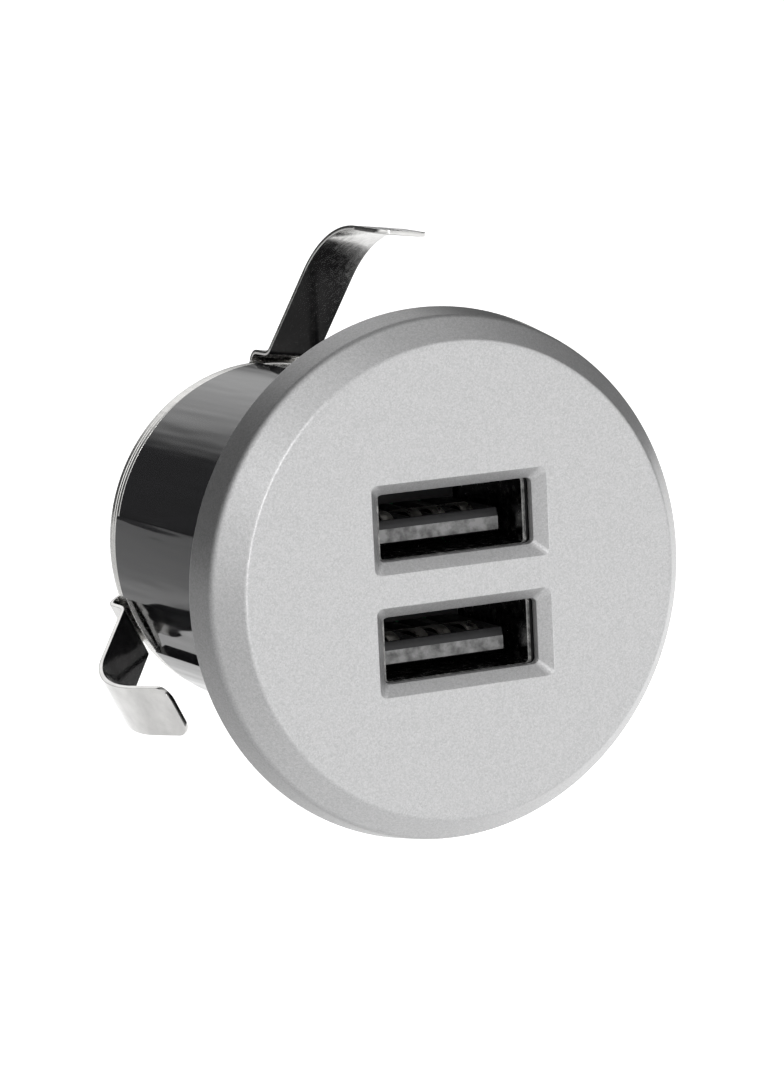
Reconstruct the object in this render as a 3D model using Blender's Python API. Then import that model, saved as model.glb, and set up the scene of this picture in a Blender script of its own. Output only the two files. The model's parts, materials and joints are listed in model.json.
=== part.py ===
"""Flush-mount twin USB wall charger for a round panel hole.

The charger's axis is the Y axis. +Z is up, +X is to the right for someone who faces the
front plate, and -Y points out of the panel towards them. The origin is the centre of the
plane where the flange seats on the panel. Clock angles run clockwise from +Z as seen from
the front.
"""

import math

import bmesh
import bpy
from mathutils import Matrix, Vector

MM = 0.001

# Clearances
ASSEMBLY_GAP = 0.3 * MM          # between pieces that touch on the real object
SCREW_GAP = 0.3 * MM             # round a screw's shank in its hole
CUT_OVERRUN = 1.0 * MM           # how far a cutter reaches past the face that it opens
CUT_OVERLAP = 0.1 * MM           # the same, where another face is near

# Face plate
FLANGE_OVERHANG = 6.55 * MM      # beyond the body, all round
FLANGE_DEPTH = 5.3 * MM
RIM_DRAFT = 0.45 * MM            # how much the rim narrows from the panel to the bevel
BEVEL_WIDTH = 1.9 * MM
BEVEL_DEPTH = 2.35 * MM
RIM_SHOULDER = 0.35 * MM         # soft turn from the bevel to the rim
RIM_EDGE = 0.2 * MM              # broken edge where the rim meets the panel
FACE_WALL = 1.6 * MM
SNAP_LIP = 0.65 * MM             # how far the rim's lip closes in behind the body's collar

# Port windows in the face plate
PORT_PITCH = 9.5 * MM
WINDOW_SIDE_GAP = 0.5 * MM       # window wider than the shell's opening, each side
WINDOW_TOP_GAP = 0.04 * MM
WINDOW_CHAMFER_WIDTH = 0.9 * MM
WINDOW_CHAMFER_DEPTH = 0.95 * MM
WINDOW_CORNER = 0.4 * MM

# Body
BODY_DIAMETER = 28.8 * MM
BODY_LENGTH = 28.1 * MM
BODY_WALL = 1.6 * MM
COLLAR_WIDTH = 2.95 * MM
COLLAR_DEPTH = 1.8 * MM
LAND_RISE = 0.25 * MM            # raised land beside each leg channel
LAND_START = 11.0                # degrees clockwise of the leg
LAND_END = 38.0
LAND_STEP = 0.4                  # degrees over which a land drops to the body
CHANNEL_DEPTH = 0.8 * MM
CHANNEL_START = 4.5 * MM         # front end of a leg channel
BOSS_RADIUS = 2.1 * MM
BOSS_LENGTH = 6.0 * MM
BOSS_SINK = 0.4 * MM             # how far a boss runs into the body's wall
BOSS_RECESS = 0.2 * MM           # from a boss's end to the body's rear edge

# Rear cap and spring clip
CAP_DEPTH = 1.6 * MM
CAP_WALL = 0.5 * MM
CAP_STEP = 0.15 * MM             # how far the cap stays inside the body's outline
CAP_EDGE = 0.35 * MM
HUB_THICKNESS = 0.4 * MM
HUB_EDGE = 1.6 * MM              # from the hub ring's rim to the cap's rim
HUB_BORE_GAP = 0.6 * MM
STRIP_THICKNESS = 0.36 * MM
STRIP_WIDTH = 4.5 * MM
CHANNEL_SIDE_GAP = 0.5 * MM
KNEE_RISE = 0.55 * MM            # strip's middle above the body's outline, along the knee
KNEE_ROOT = 1.0 * MM             # how far the knee's strip runs into the hub ring
KNEE_RADIUS = 0.9 * MM
KNEE_LENGTH = 2.0 * MM           # straight run of the knee over the body's rear end
HINGE_GAP = 0.22 * MM            # from the leg's bend line to each steel end beside it
LEG_ANGLE = 45.5                 # degrees between a leg and the axis, unstressed
LEG_STRAIGHT = 9.0 * MM
ELBOW_RADIUS = 10.6 * MM
ELBOW_ANGLE = 53.3
PAD_LENGTH = 4.6 * MM
PAD_CORNER = 1.3 * MM
LEGS = {                         # name: (clock angle, set of this leg beyond LEG_ANGLE)
    "leg_top": (8.0, 6.7),
    "leg_right": (126.0, 0.0),
    "leg_left": (244.0, -6.7),
}

# Screws that hold the clip and the cap to the body
SCREW_RADIUS = 0.9 * MM
SCREW_LENGTH = 5.5 * MM
SCREW_TIP = 0.6 * MM
SCREW_HEAD_RADIUS = 1.8 * MM
SCREW_HEAD_HEIGHT = 1.1 * MM
SCREW_CLOCKS = (67.0, 185.0, 306.0)
CROSS_WIDTH = 0.5 * MM
CROSS_LENGTH = 2.0 * MM
CROSS_DEPTH = 0.6 * MM

# Cable grommet
CABLE_BORE_RADIUS = 3.0 * MM
GROMMET_NECK_RADIUS = 4.2 * MM
GROMMET_FLANGE_RADIUS = 5.4 * MM
GROMMET_FLANGE_DEPTH = 1.4 * MM
GROMMET_NOSE_RADIUS = 3.9 * MM
GROMMET_NOSE_DEPTH = 2.6 * MM
GROMMET_EDGE = 0.4 * MM
GROMMET_LIP_DEPTH = 1.2 * MM     # the part that grips the cap's wall from inside

# USB receptacles
USB_INNER_WIDTH = 12.5 * MM
USB_INNER_HEIGHT = 5.12 * MM
USB_SHEET = 0.3 * MM
USB_DEPTH = 13.0 * MM
USB_CORNER = 0.6 * MM
USB_BLOCK_DEPTH = 2.4 * MM       # insulator behind the tongue
TONGUE_SIDE_GAP = 0.7 * MM
TONGUE_THICKNESS = 1.84 * MM
TONGUE_FLOOR_GAP = 0.7 * MM      # under the tongue, to the shell's lower wall
TONGUE_RECESS = 2.2 * MM         # from the shell's front edge back to the tongue
TONGUE_CHAMFER = 0.45 * MM
TONGUE_ROOT = 1.0 * MM           # how far the tongue runs into the insulator's block
CONTACT_CENTRES = (-3.5 * MM, -1.0 * MM, 1.0 * MM, 3.5 * MM)
CONTACT_WIDTH = 1.0 * MM
CONTACT_THICKNESS = 0.2 * MM
CONTACT_CREST = 0.35 * MM        # above the tongue
CONTACT_GAP = 0.3 * MM
GROOVE_DEPTH = 1.0 * MM
GROOVE_LIP = 0.8 * MM            # solid tongue in front of the grooves
PIN_WIDTH = 0.5 * MM
PIN_HEIGHT = 0.3 * MM
PIN_OVERHANG = 0.9 * MM          # past the rear of the port board

# Boards
BOARD_THICKNESS = 1.2 * MM
PIN_HOLE_RADIUS = 0.6 * MM
POWER_BOARD_DROP = 3.0 * MM      # power board's middle below the axis
POWER_BOARD_WIDTH = 21.6 * MM
POWER_BOARD_LENGTH = 15.0 * MM
FRAME_DEPTH = 2.0 * MM

ROUND = 96                       # facets of the large turned pieces
SMALL_ROUND = 32                 # facets of the small ones

# Derived places
BODY_RADIUS = BODY_DIAMETER / 2
FLANGE_RADIUS = BODY_RADIUS + FLANGE_OVERHANG
BODY_BORE_RADIUS = BODY_RADIUS - BODY_WALL
FACE_Y = -FLANGE_DEPTH
WALL_BACK_Y = FACE_Y + FACE_WALL
COLLAR_RADIUS = BODY_RADIUS + COLLAR_WIDTH
CUP_RADIUS = COLLAR_RADIUS + ASSEMBLY_GAP
COLLAR_FRONT_Y = WALL_BACK_Y + ASSEMBLY_GAP
COLLAR_BACK_Y = COLLAR_FRONT_Y + COLLAR_DEPTH
LIP_FRONT_Y = COLLAR_BACK_Y + ASSEMBLY_GAP
WINDOW_WIDTH = USB_INNER_WIDTH + 2 * WINDOW_SIDE_GAP
WINDOW_HEIGHT = USB_INNER_HEIGHT + 2 * WINDOW_TOP_GAP
CAP_FRONT_Y = BODY_LENGTH + ASSEMBLY_GAP
CAP_BACK_Y = CAP_FRONT_Y + CAP_DEPTH
CAP_RADIUS = BODY_RADIUS - CAP_STEP
HUB_FRONT_Y = CAP_BACK_Y + ASSEMBLY_GAP
HUB_BACK_Y = HUB_FRONT_Y + HUB_THICKNESS
HUB_MIDDLE_Y = HUB_FRONT_Y + HUB_THICKNESS / 2
KNEE_HEIGHT = BODY_RADIUS + KNEE_RISE
HINGE_Y = HUB_MIDDLE_Y - KNEE_RADIUS - KNEE_LENGTH - HINGE_GAP
BOSS_PITCH_RADIUS = BODY_BORE_RADIUS + BOSS_SINK - BOSS_RADIUS
USB_FRONT_Y = COLLAR_FRONT_Y
USB_BACK_Y = USB_FRONT_Y + USB_DEPTH
TONGUE_FRONT_Y = USB_FRONT_Y + TONGUE_RECESS
BLOCK_FRONT_Y = USB_BACK_Y - USB_BLOCK_DEPTH
TONGUE_BOTTOM = -USB_INNER_HEIGHT / 2 + TONGUE_FLOOR_GAP
TONGUE_TOP = TONGUE_BOTTOM + TONGUE_THICKNESS
GROOVE_FLOOR = TONGUE_TOP - GROOVE_DEPTH
CONTACT_ROOT_Z = GROOVE_FLOOR + CONTACT_GAP + CONTACT_THICKNESS / 2
CONTACT_PIVOT_Y = BLOCK_FRONT_Y + 0.5 * MM
PIN_FRONT_Y = CONTACT_PIVOT_Y + 0.5 * MM
PORT_BOARD_Y = USB_BACK_Y + ASSEMBLY_GAP
POWER_BOARD_Y = PORT_BOARD_Y + BOARD_THICKNESS + ASSEMBLY_GAP
POWER_PARTS_Y = POWER_BOARD_Y + PIN_OVERHANG      # clear of the pins' ends
BOARD_TOP = -POWER_BOARD_DROP + BOARD_THICKNESS / 2 + ASSEMBLY_GAP
BOARD_UNDER = -POWER_BOARD_DROP - BOARD_THICKNESS / 2 - ASSEMBLY_GAP
PORTS = {"upper": PORT_PITCH / 2, "lower": -PORT_PITCH / 2}


# Materials

def material(name, colour, roughness, metallic=0.0):
    made = bpy.data.materials.get(name)
    if made is None:
        made = bpy.data.materials.new(name)
        made.use_nodes = True
        shader = made.node_tree.nodes["Principled BSDF"]
        shader.inputs["Base Color"].default_value = (*colour, 1.0)
        shader.inputs["Roughness"].default_value = roughness
        shader.inputs["Metallic"].default_value = metallic
        made.diffuse_color = (*colour, 1.0)
    return made


def silver_paint():
    return material("silver_paint", (0.55, 0.55, 0.56), 0.38, 0.6)


def black_gloss():
    return material("black_gloss", (0.012, 0.012, 0.013), 0.12)


def spring_steel():
    return material("spring_steel", (0.62, 0.61, 0.6), 0.14, 1.0)


def plated_steel():
    return material("plated_steel", (0.6, 0.6, 0.6), 0.25, 1.0)


def port_plastic():
    return material("port_plastic", (0.03, 0.03, 0.032), 0.4)


def contact_plating():
    return material("contact_plating", (0.62, 0.6, 0.57), 0.28, 1.0)


def rubber():
    return material("rubber", (0.02, 0.02, 0.02), 0.65)


def circuit_board():
    return material("circuit_board", (0.03, 0.16, 0.07), 0.45)


def ferrite():
    return material("ferrite", (0.07, 0.07, 0.075), 0.6)


def winding_tape():
    return material("winding_tape", (0.75, 0.55, 0.08), 0.4)


def capacitor_sleeve():
    return material("capacitor_sleeve", (0.05, 0.07, 0.16), 0.35)


def component_black():
    return material("component_black", (0.04, 0.04, 0.04), 0.5)


def disc_blue():
    return material("disc_blue", (0.08, 0.2, 0.5), 0.35)


def terminal_green():
    return material("terminal_green", (0.05, 0.35, 0.16), 0.45)


# Shape helpers

def add_object(name, mesh_data, finish):
    """A mesh object from a bmesh, with its faces out and its round faces smooth."""
    bmesh.ops.recalc_face_normals(mesh_data, faces=mesh_data.faces)
    mesh = bpy.data.meshes.new(name)
    mesh_data.to_mesh(mesh)
    mesh_data.free()
    mesh.shade_smooth()
    mesh.set_sharp_from_angle(angle=math.radians(32))
    if finish is not None:
        mesh.materials.append(finish)
    made = bpy.data.objects.new(name, mesh)
    bpy.context.scene.collection.objects.link(made)
    if finish is None:
        made.hide_render = True
        made.display_type = "WIRE"
    return made


def turned(name, profile, finish=None, facets=ROUND, centre=(0.0, 0.0)):
    """Turns a closed outline of (radius, y) points about a line along Y through centre (x, z)."""
    data = bmesh.new()
    corners = [data.verts.new((radius, y, 0.0)) for radius, y in profile]
    edges = [data.edges.new(pair) for pair in zip(corners, corners[1:] + corners[:1])]
    bmesh.ops.spin(data, geom=corners + edges, axis=(0, 1, 0), cent=(0, 0, 0),
                   angle=math.tau, steps=facets, use_merge=True)
    bmesh.ops.remove_doubles(data, verts=data.verts, dist=1e-6)
    bmesh.ops.dissolve_degenerate(data, edges=data.edges, dist=1e-7)
    bmesh.ops.translate(data, verts=data.verts, vec=(centre[0], 0.0, centre[1]))
    return add_object(name, data, finish)


def rod(name, radius, y_from, y_to, finish=None, centre=(0.0, 0.0), facets=SMALL_ROUND):
    return turned(name, [(0.0, y_from), (radius, y_from), (radius, y_to), (0.0, y_to)],
                  finish, facets, centre)


def block(name, low, high, finish=None, bevel=0.0):
    """A box between two corners, with its edges rounded by bevel."""
    data = bmesh.new()
    bmesh.ops.create_cube(data, size=1.0)
    low, high = Vector(low), Vector(high)
    for corner in data.verts:
        corner.co = [(a + b) / 2 + part * (b - a) for a, b, part in zip(low, high, corner.co)]
    if bevel > 0.0:
        bmesh.ops.bevel(data, geom=data.edges[:], offset=bevel, segments=2, profile=0.5,
                        affect="EDGES")
    return add_object(name, data, finish)


def rounded_rectangle(width, height, corner, steps=4):
    """Points (x, z) round a rectangle with round corners, centred on the axis."""
    points = []
    for quarter, (side_x, side_z) in enumerate(((1, 1), (-1, 1), (-1, -1), (1, -1))):
        for step in range(steps + 1):
            turn = math.radians(90.0 * (quarter + step / steps))
            points.append((side_x * (width / 2 - corner) + corner * math.cos(turn),
                           side_z * (height / 2 - corner) + corner * math.sin(turn)))
    return points


def lofted(name, sections, finish=None):
    """A closed solid through outlines of equal length, each given as (y, [(x, z), ...])."""
    data = bmesh.new()
    rings = [[data.verts.new((x, y, z)) for x, z in outline] for y, outline in sections]
    for near, far in zip(rings, rings[1:]):
        for index in range(len(near)):
            follow = (index + 1) % len(near)
            data.faces.new((near[index], near[follow], far[follow], far[index]))
    data.faces.new(rings[0])
    data.faces.new(rings[-1])
    return add_object(name, data, finish)


def port_prism(name, sections, level, finish=None):
    """A loft of rounded rectangles (y, width, height, corner) centred at the height level."""
    outlines = []
    for y, width, height, corner in sections:
        outline = rounded_rectangle(width, height, corner)
        outlines.append((y, [(x, z + level) for x, z in outline]))
    return lofted(name, outlines, finish)


def combine(target, tool, operation):
    change = target.modifiers.new(operation.lower() + "_" + tool.name, "BOOLEAN")
    change.operation = operation
    change.solver = "EXACT"
    change.object = tool


def cut(target, tool):
    combine(target, tool, "DIFFERENCE")


def join(target, tool):
    combine(target, tool, "UNION")


def clock_place(clock, radius):
    """The (x, z) of a place at a clock angle in degrees."""
    turn = math.radians(clock)
    return radius * math.sin(turn), radius * math.cos(turn)


def strip(name, path, width_at, finish=None, clock=0.0):
    """A steel strip whose middle follows path, points of (y, radius), at a clock angle."""
    data = bmesh.new()
    rings = []
    travelled = 0.0
    for index, (y, radius) in enumerate(path):
        before = Vector(path[max(index - 1, 0)])
        after = Vector(path[min(index + 1, len(path) - 1)])
        along = (after - before).normalized()
        if index > 0:
            travelled += (Vector(path[index]) - Vector(path[index - 1])).length
        outward = Vector((along.y, -along.x)) * STRIP_THICKNESS / 2
        half = width_at(travelled) / 2
        ring = []
        for side, face in ((-1, 1), (1, 1), (1, -1), (-1, -1)):
            ring.append(data.verts.new((side * half, y + face * outward.x,
                                        radius + face * outward.y)))
        rings.append(ring)
    for near, far in zip(rings, rings[1:]):
        for index in range(4):
            follow = (index + 1) % 4
            data.faces.new((near[index], near[follow], far[follow], far[index]))
    data.faces.new(rings[0])
    data.faces.new(rings[-1])
    bmesh.ops.rotate(data, verts=data.verts, cent=(0, 0, 0),
                     matrix=Matrix.Rotation(math.radians(clock), 3, "Y"))
    return add_object(name, data, finish)


def arc(start, heading, turn, radius, steps):
    """Points of (y, radius) along an arc that leaves start at heading degrees from -Y.

    A positive turn bends outwards. It returns the points after start and the last heading.
    """
    points = []
    sign = 1.0 if turn > 0 else -1.0
    angle = math.radians(heading)
    side = Vector((math.sin(angle), math.cos(angle))) * sign
    centre = Vector(start) + side * radius
    for step in range(1, steps + 1):
        now = math.radians(heading + turn * step / steps)
        points.append(centre - Vector((math.sin(now), math.cos(now))) * sign * radius)
    return [tuple(point) for point in points], heading + turn


def onward(start, heading, length):
    angle = math.radians(heading)
    return start[0] - length * math.cos(angle), start[1] + length * math.sin(angle)


# Housing

def make_face_plate():
    bevel_radius = FLANGE_RADIUS - RIM_DRAFT
    lip_radius = CUP_RADIUS - SNAP_LIP
    bevel_back = FACE_Y + BEVEL_DEPTH
    plate = turned("face_plate", [
        (0.0, FACE_Y),
        (bevel_radius - BEVEL_WIDTH, FACE_Y),
        (bevel_radius - RIM_SHOULDER, bevel_back - RIM_SHOULDER),
        (bevel_radius - RIM_SHOULDER / 4, bevel_back),
        (bevel_radius, bevel_back + RIM_SHOULDER),
        (FLANGE_RADIUS, -RIM_EDGE),
        (FLANGE_RADIUS - RIM_EDGE, 0.0),
        (lip_radius, 0.0),
        (lip_radius, LIP_FRONT_Y),
        (CUP_RADIUS, LIP_FRONT_Y),
        (CUP_RADIUS, WALL_BACK_Y),
        (0.0, WALL_BACK_Y),
    ], silver_paint())
    slope = WINDOW_CHAMFER_WIDTH / WINDOW_CHAMFER_DEPTH
    spread = 2 * slope * (WINDOW_CHAMFER_DEPTH + CUT_OVERRUN)
    for port, level in PORTS.items():
        cut(plate, port_prism("window_cutter_" + port, [
            (FACE_Y - CUT_OVERRUN, WINDOW_WIDTH + spread, WINDOW_HEIGHT + spread,
             2 * WINDOW_CORNER),
            (FACE_Y + WINDOW_CHAMFER_DEPTH, WINDOW_WIDTH, WINDOW_HEIGHT, WINDOW_CORNER),
            (WALL_BACK_Y + CUT_OVERRUN, WINDOW_WIDTH, WINDOW_HEIGHT, WINDOW_CORNER),
        ], level))


def body_outline():
    """The body's outer outline as (x, z), with a raised land clockwise of each leg."""
    points = []
    steps = 10
    clear = 1.5                  # degrees kept free of other points beside a land
    for clock, _ in LEGS.values():
        for step in range(steps + 1):
            along_land = LAND_START + (LAND_END - LAND_START) * step / steps
            points.append((clock + along_land, BODY_RADIUS + LAND_RISE))
        points.append((clock + LAND_START - LAND_STEP, BODY_RADIUS))
        points.append((clock + LAND_END + LAND_STEP, BODY_RADIUS))
    taken = [(clock + LAND_START - clear, clock + LAND_END + clear)
             for clock, _ in LEGS.values()]
    for step in range(ROUND):
        clock = 360.0 * step / ROUND
        if not any((clock - low) % 360.0 < high - low for low, high in taken):
            points.append((clock, BODY_RADIUS))
    points.sort(key=lambda point: point[0] % 360.0)
    return [clock_place(clock, radius) for clock, radius in points]


def make_body_shell():
    outline = body_outline()
    inside_collar = COLLAR_BACK_Y - COLLAR_DEPTH / 2
    shell = lofted("body_shell", [(inside_collar, outline), (BODY_LENGTH, outline)],
                   black_gloss())
    collar = turned("body_collar", [
        (0.0, COLLAR_FRONT_Y), (COLLAR_RADIUS, COLLAR_FRONT_Y),
        (COLLAR_RADIUS, COLLAR_BACK_Y), (0.0, COLLAR_BACK_Y),
    ])
    join(shell, collar)
    for name, (clock, _) in LEGS.items():
        floor = BODY_RADIUS - CHANNEL_DEPTH
        half = STRIP_WIDTH / 2 + CHANNEL_SIDE_GAP
        channel = block("channel_cutter_" + name, (-half, CHANNEL_START, floor),
                        (half, BODY_LENGTH + CUT_OVERRUN, BODY_RADIUS + CUT_OVERRUN))
        channel.data.transform(Matrix.Rotation(math.radians(clock), 4, "Y"))
        cut(shell, channel)
    cut(shell, rod("body_bore_cutter", BODY_BORE_RADIUS, COLLAR_FRONT_Y - CUT_OVERRUN,
                   BODY_LENGTH + CUT_OVERRUN, facets=ROUND))
    for clock in SCREW_CLOCKS:
        place = clock_place(clock, BOSS_PITCH_RADIUS)
        join(shell, rod("boss_%.0f" % clock, BOSS_RADIUS, BODY_LENGTH - BOSS_LENGTH,
                        BODY_LENGTH - BOSS_RECESS, centre=place))
        cut(shell, rod("boss_hole_cutter_%.0f" % clock, SCREW_RADIUS + SCREW_GAP,
                       BODY_LENGTH - BOSS_LENGTH - CUT_OVERRUN, BODY_LENGTH + CUT_OVERRUN,
                       centre=place, facets=SMALL_ROUND // 2))


def make_port_frame():
    """The disc inside the body's mouth that holds both receptacles."""
    radius = BODY_BORE_RADIUS - ASSEMBLY_GAP
    front = USB_FRONT_Y + ASSEMBLY_GAP
    frame = rod("port_frame", radius, front, front + FRAME_DEPTH, port_plastic(), facets=48)
    width = USB_INNER_WIDTH + 2 * (USB_SHEET + ASSEMBLY_GAP)
    height = USB_INNER_HEIGHT + 2 * (USB_SHEET + ASSEMBLY_GAP)
    for port, level in PORTS.items():
        cut(frame, port_prism("frame_cutter_" + port, [
            (front - CUT_OVERRUN, width, height, USB_CORNER),
            (front + FRAME_DEPTH + CUT_OVERRUN, width, height, USB_CORNER),
        ], level))


# Rear end

def make_rear_cap():
    inner = CAP_RADIUS - CAP_WALL
    cap = turned("rear_cap", [
        (GROMMET_NECK_RADIUS + ASSEMBLY_GAP, CAP_BACK_Y - CAP_WALL),
        (inner, CAP_BACK_Y - CAP_WALL),
        (inner, CAP_FRONT_Y),
        (CAP_RADIUS, CAP_FRONT_Y),
        (CAP_RADIUS, CAP_BACK_Y - CAP_EDGE),
        (CAP_RADIUS - CAP_EDGE * 0.3, CAP_BACK_Y - CAP_EDGE * 0.3),
        (CAP_RADIUS - CAP_EDGE, CAP_BACK_Y),
        (GROMMET_NECK_RADIUS + ASSEMBLY_GAP, CAP_BACK_Y),
    ], plated_steel(), facets=72)
    for clock in SCREW_CLOCKS:
        cut(cap, rod("cap_hole_cutter_%.0f" % clock, SCREW_RADIUS + SCREW_GAP,
                     CAP_FRONT_Y, CAP_BACK_Y + CUT_OVERRUN, facets=SMALL_ROUND // 2,
                     centre=clock_place(clock, BOSS_PITCH_RADIUS)))


def make_spring_hub():
    """The clip's ring on the cap, with three knees that reach forward over the body."""
    bore = GROMMET_FLANGE_RADIUS + HUB_BORE_GAP
    rim = CAP_RADIUS - HUB_EDGE
    hub = turned("spring_hub", [
        (bore, HUB_FRONT_Y), (rim, HUB_FRONT_Y), (rim, HUB_BACK_Y), (bore, HUB_BACK_Y),
    ], spring_steel(), facets=72)
    for name, (clock, _) in LEGS.items():
        path = [(HUB_MIDDLE_Y, rim - KNEE_ROOT), (HUB_MIDDLE_Y, KNEE_HEIGHT - KNEE_RADIUS)]
        bent, heading = arc(path[-1], 90.0, -90.0, KNEE_RADIUS, 5)
        path += bent
        path.append(onward(path[-1], heading, KNEE_LENGTH))
        join(hub, strip("knee_" + name, path, lambda travelled: STRIP_WIDTH, clock=clock))
    for clock in SCREW_CLOCKS:
        cut(hub, rod("hub_hole_cutter_%.0f" % clock, SCREW_RADIUS + SCREW_GAP,
                     HUB_FRONT_Y - CUT_OVERRUN, HUB_BACK_Y + CUT_OVERRUN,
                     facets=SMALL_ROUND // 2, centre=clock_place(clock, BOSS_PITCH_RADIUS)))


def make_leg(name, clock, leg_set):
    """One spring leg: straight, elbow and friction pad. Its hinge stands for its flex."""
    heading = LEG_ANGLE + leg_set
    hinge = (HINGE_Y, KNEE_HEIGHT)
    path = [onward(hinge, heading, HINGE_GAP)]
    path.append(onward(hinge, heading, LEG_STRAIGHT))
    bent, heading = arc(path[-1], heading, -ELBOW_ANGLE, ELBOW_RADIUS, 10)
    path += bent
    elbow_end = path[-1]
    path.append(onward(elbow_end, heading, PAD_LENGTH - PAD_CORNER))
    for step in range(1, 5):
        reach = PAD_CORNER * math.sin(math.radians(22.5 * step))
        path.append(onward(elbow_end, heading, PAD_LENGTH - PAD_CORNER + reach))
    length = sum((Vector(b) - Vector(a)).length for a, b in zip(path, path[1:]))

    def width_at(travelled):
        into_corner = max(0.0, travelled - (length - PAD_CORNER))
        share = min(into_corner / PAD_CORNER, 1.0)
        return STRIP_WIDTH - 2 * PAD_CORNER * (1.0 - math.sqrt(1.0 - share ** 2))

    leg = strip(name, path, width_at, spring_steel(), clock)
    x, z = clock_place(clock, KNEE_HEIGHT)
    pivot = bpy.data.objects.new(name + "_pivot", None)
    pivot.location = (x, HINGE_Y, z)
    bpy.context.scene.collection.objects.link(pivot)
    leg.parent = pivot
    leg.data.transform(Matrix.Translation((-x, -HINGE_Y, -z)))


def make_hub_screw(name, clock):
    under = HUB_BACK_Y + ASSEMBLY_GAP
    top = under + SCREW_HEAD_HEIGHT
    place = clock_place(clock, BOSS_PITCH_RADIUS)
    screw = turned(name, [
        (0.0, under - SCREW_LENGTH - SCREW_TIP),
        (SCREW_RADIUS, under - SCREW_LENGTH),
        (SCREW_RADIUS, under),
        (SCREW_HEAD_RADIUS, under),
        (SCREW_HEAD_RADIUS, under + SCREW_HEAD_HEIGHT * 0.45),
        (SCREW_HEAD_RADIUS * 0.75, top),
        (0.0, top),
    ], plated_steel(), 24, place)
    arms = ((CROSS_LENGTH, CROSS_WIDTH), (CROSS_WIDTH, CROSS_LENGTH))
    for index, (wide, tall) in enumerate(arms):
        cut(screw, block("%s_cross_%d" % (name, index),
                         (place[0] - wide / 2, top - CROSS_DEPTH, place[1] - tall / 2),
                         (place[0] + wide / 2, top + CUT_OVERRUN, place[1] + tall / 2)))


def make_cable_grommet():
    """The inlet for the supply cord: flange, nose and a lip that grips the cap's wall."""
    outer = CAP_BACK_Y + ASSEMBLY_GAP
    inner = CAP_BACK_Y - CAP_WALL - ASSEMBLY_GAP
    flange_back = outer + GROMMET_FLANGE_DEPTH
    nose_back = flange_back + GROMMET_NOSE_DEPTH
    turned("cable_grommet", [
        (CABLE_BORE_RADIUS, inner - GROMMET_LIP_DEPTH),
        (GROMMET_NECK_RADIUS, inner - GROMMET_LIP_DEPTH),
        (GROMMET_FLANGE_RADIUS - GROMMET_EDGE, inner),
        (GROMMET_NECK_RADIUS, inner),
        (GROMMET_NECK_RADIUS, outer),
        (GROMMET_FLANGE_RADIUS, outer),
        (GROMMET_FLANGE_RADIUS, flange_back - GROMMET_EDGE),
        (GROMMET_FLANGE_RADIUS - GROMMET_EDGE, flange_back),
        (GROMMET_NOSE_RADIUS, flange_back),
        (GROMMET_NOSE_RADIUS - GROMMET_EDGE, nose_back),
        (CABLE_BORE_RADIUS, nose_back),
    ], rubber(), 40)


# USB receptacles

def make_usb_shell(port, level):
    outer_width = USB_INNER_WIDTH + 2 * USB_SHEET
    outer_height = USB_INNER_HEIGHT + 2 * USB_SHEET
    shell = port_prism("usb_shell_" + port, [
        (USB_FRONT_Y, outer_width, outer_height, USB_CORNER),
        (USB_BACK_Y, outer_width, outer_height, USB_CORNER),
    ], level, plated_steel())
    corner = USB_CORNER - USB_SHEET
    cut(shell, port_prism("usb_shell_cutter_" + port, [
        (USB_FRONT_Y - CUT_OVERRUN, USB_INNER_WIDTH, USB_INNER_HEIGHT, corner),
        (USB_BACK_Y + CUT_OVERRUN, USB_INNER_WIDTH, USB_INNER_HEIGHT, corner),
    ], level))


def make_usb_insulator(port, level):
    half_width = USB_INNER_WIDTH / 2 - ASSEMBLY_GAP
    half_height = USB_INNER_HEIGHT / 2 - ASSEMBLY_GAP
    insulator = block("usb_insulator_" + port, (-half_width, BLOCK_FRONT_Y, level - half_height),
                      (half_width, USB_BACK_Y, level + half_height), port_plastic())
    bottom, top = level + TONGUE_BOTTOM, level + TONGUE_TOP
    chamfer = TONGUE_CHAMFER
    side = USB_INNER_WIDTH / 2 - TONGUE_SIDE_GAP
    data = bmesh.new()
    root_y = BLOCK_FRONT_Y + TONGUE_ROOT
    outline = [
        (root_y, bottom), (TONGUE_FRONT_Y + chamfer, bottom),
        (TONGUE_FRONT_Y, bottom + chamfer * 0.4), (TONGUE_FRONT_Y, top - chamfer * 1.4),
        (TONGUE_FRONT_Y + chamfer, top), (root_y, top),
    ]
    near = [data.verts.new((-side, y, z)) for y, z in outline]
    far = [data.verts.new((side, y, z)) for y, z in outline]
    data.faces.new(near)
    data.faces.new(far)
    for index in range(len(outline)):
        follow = (index + 1) % len(outline)
        data.faces.new((near[index], near[follow], far[follow], far[index]))
    join(insulator, add_object("tongue_" + port, data, None))
    half_groove = CONTACT_WIDTH / 2 + CONTACT_GAP
    floor = level + GROOVE_FLOOR
    slot_top = level + CONTACT_ROOT_Z + CONTACT_GAP + CONTACT_THICKNESS
    for index, x in enumerate(CONTACT_CENTRES, 1):
        cut(insulator, block("groove_cutter_%s_%d" % (port, index),
                             (x - half_groove, TONGUE_FRONT_Y + GROOVE_LIP, floor),
                             (x + half_groove, BLOCK_FRONT_Y + CUT_OVERLAP,
                              top + CUT_OVERLAP)))
        cut(insulator, block("slot_cutter_%s_%d" % (port, index),
                             (x - half_groove, BLOCK_FRONT_Y - CUT_OVERLAP, floor),
                             (x + half_groove, USB_BACK_Y + CUT_OVERRUN, slot_top)))


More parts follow.
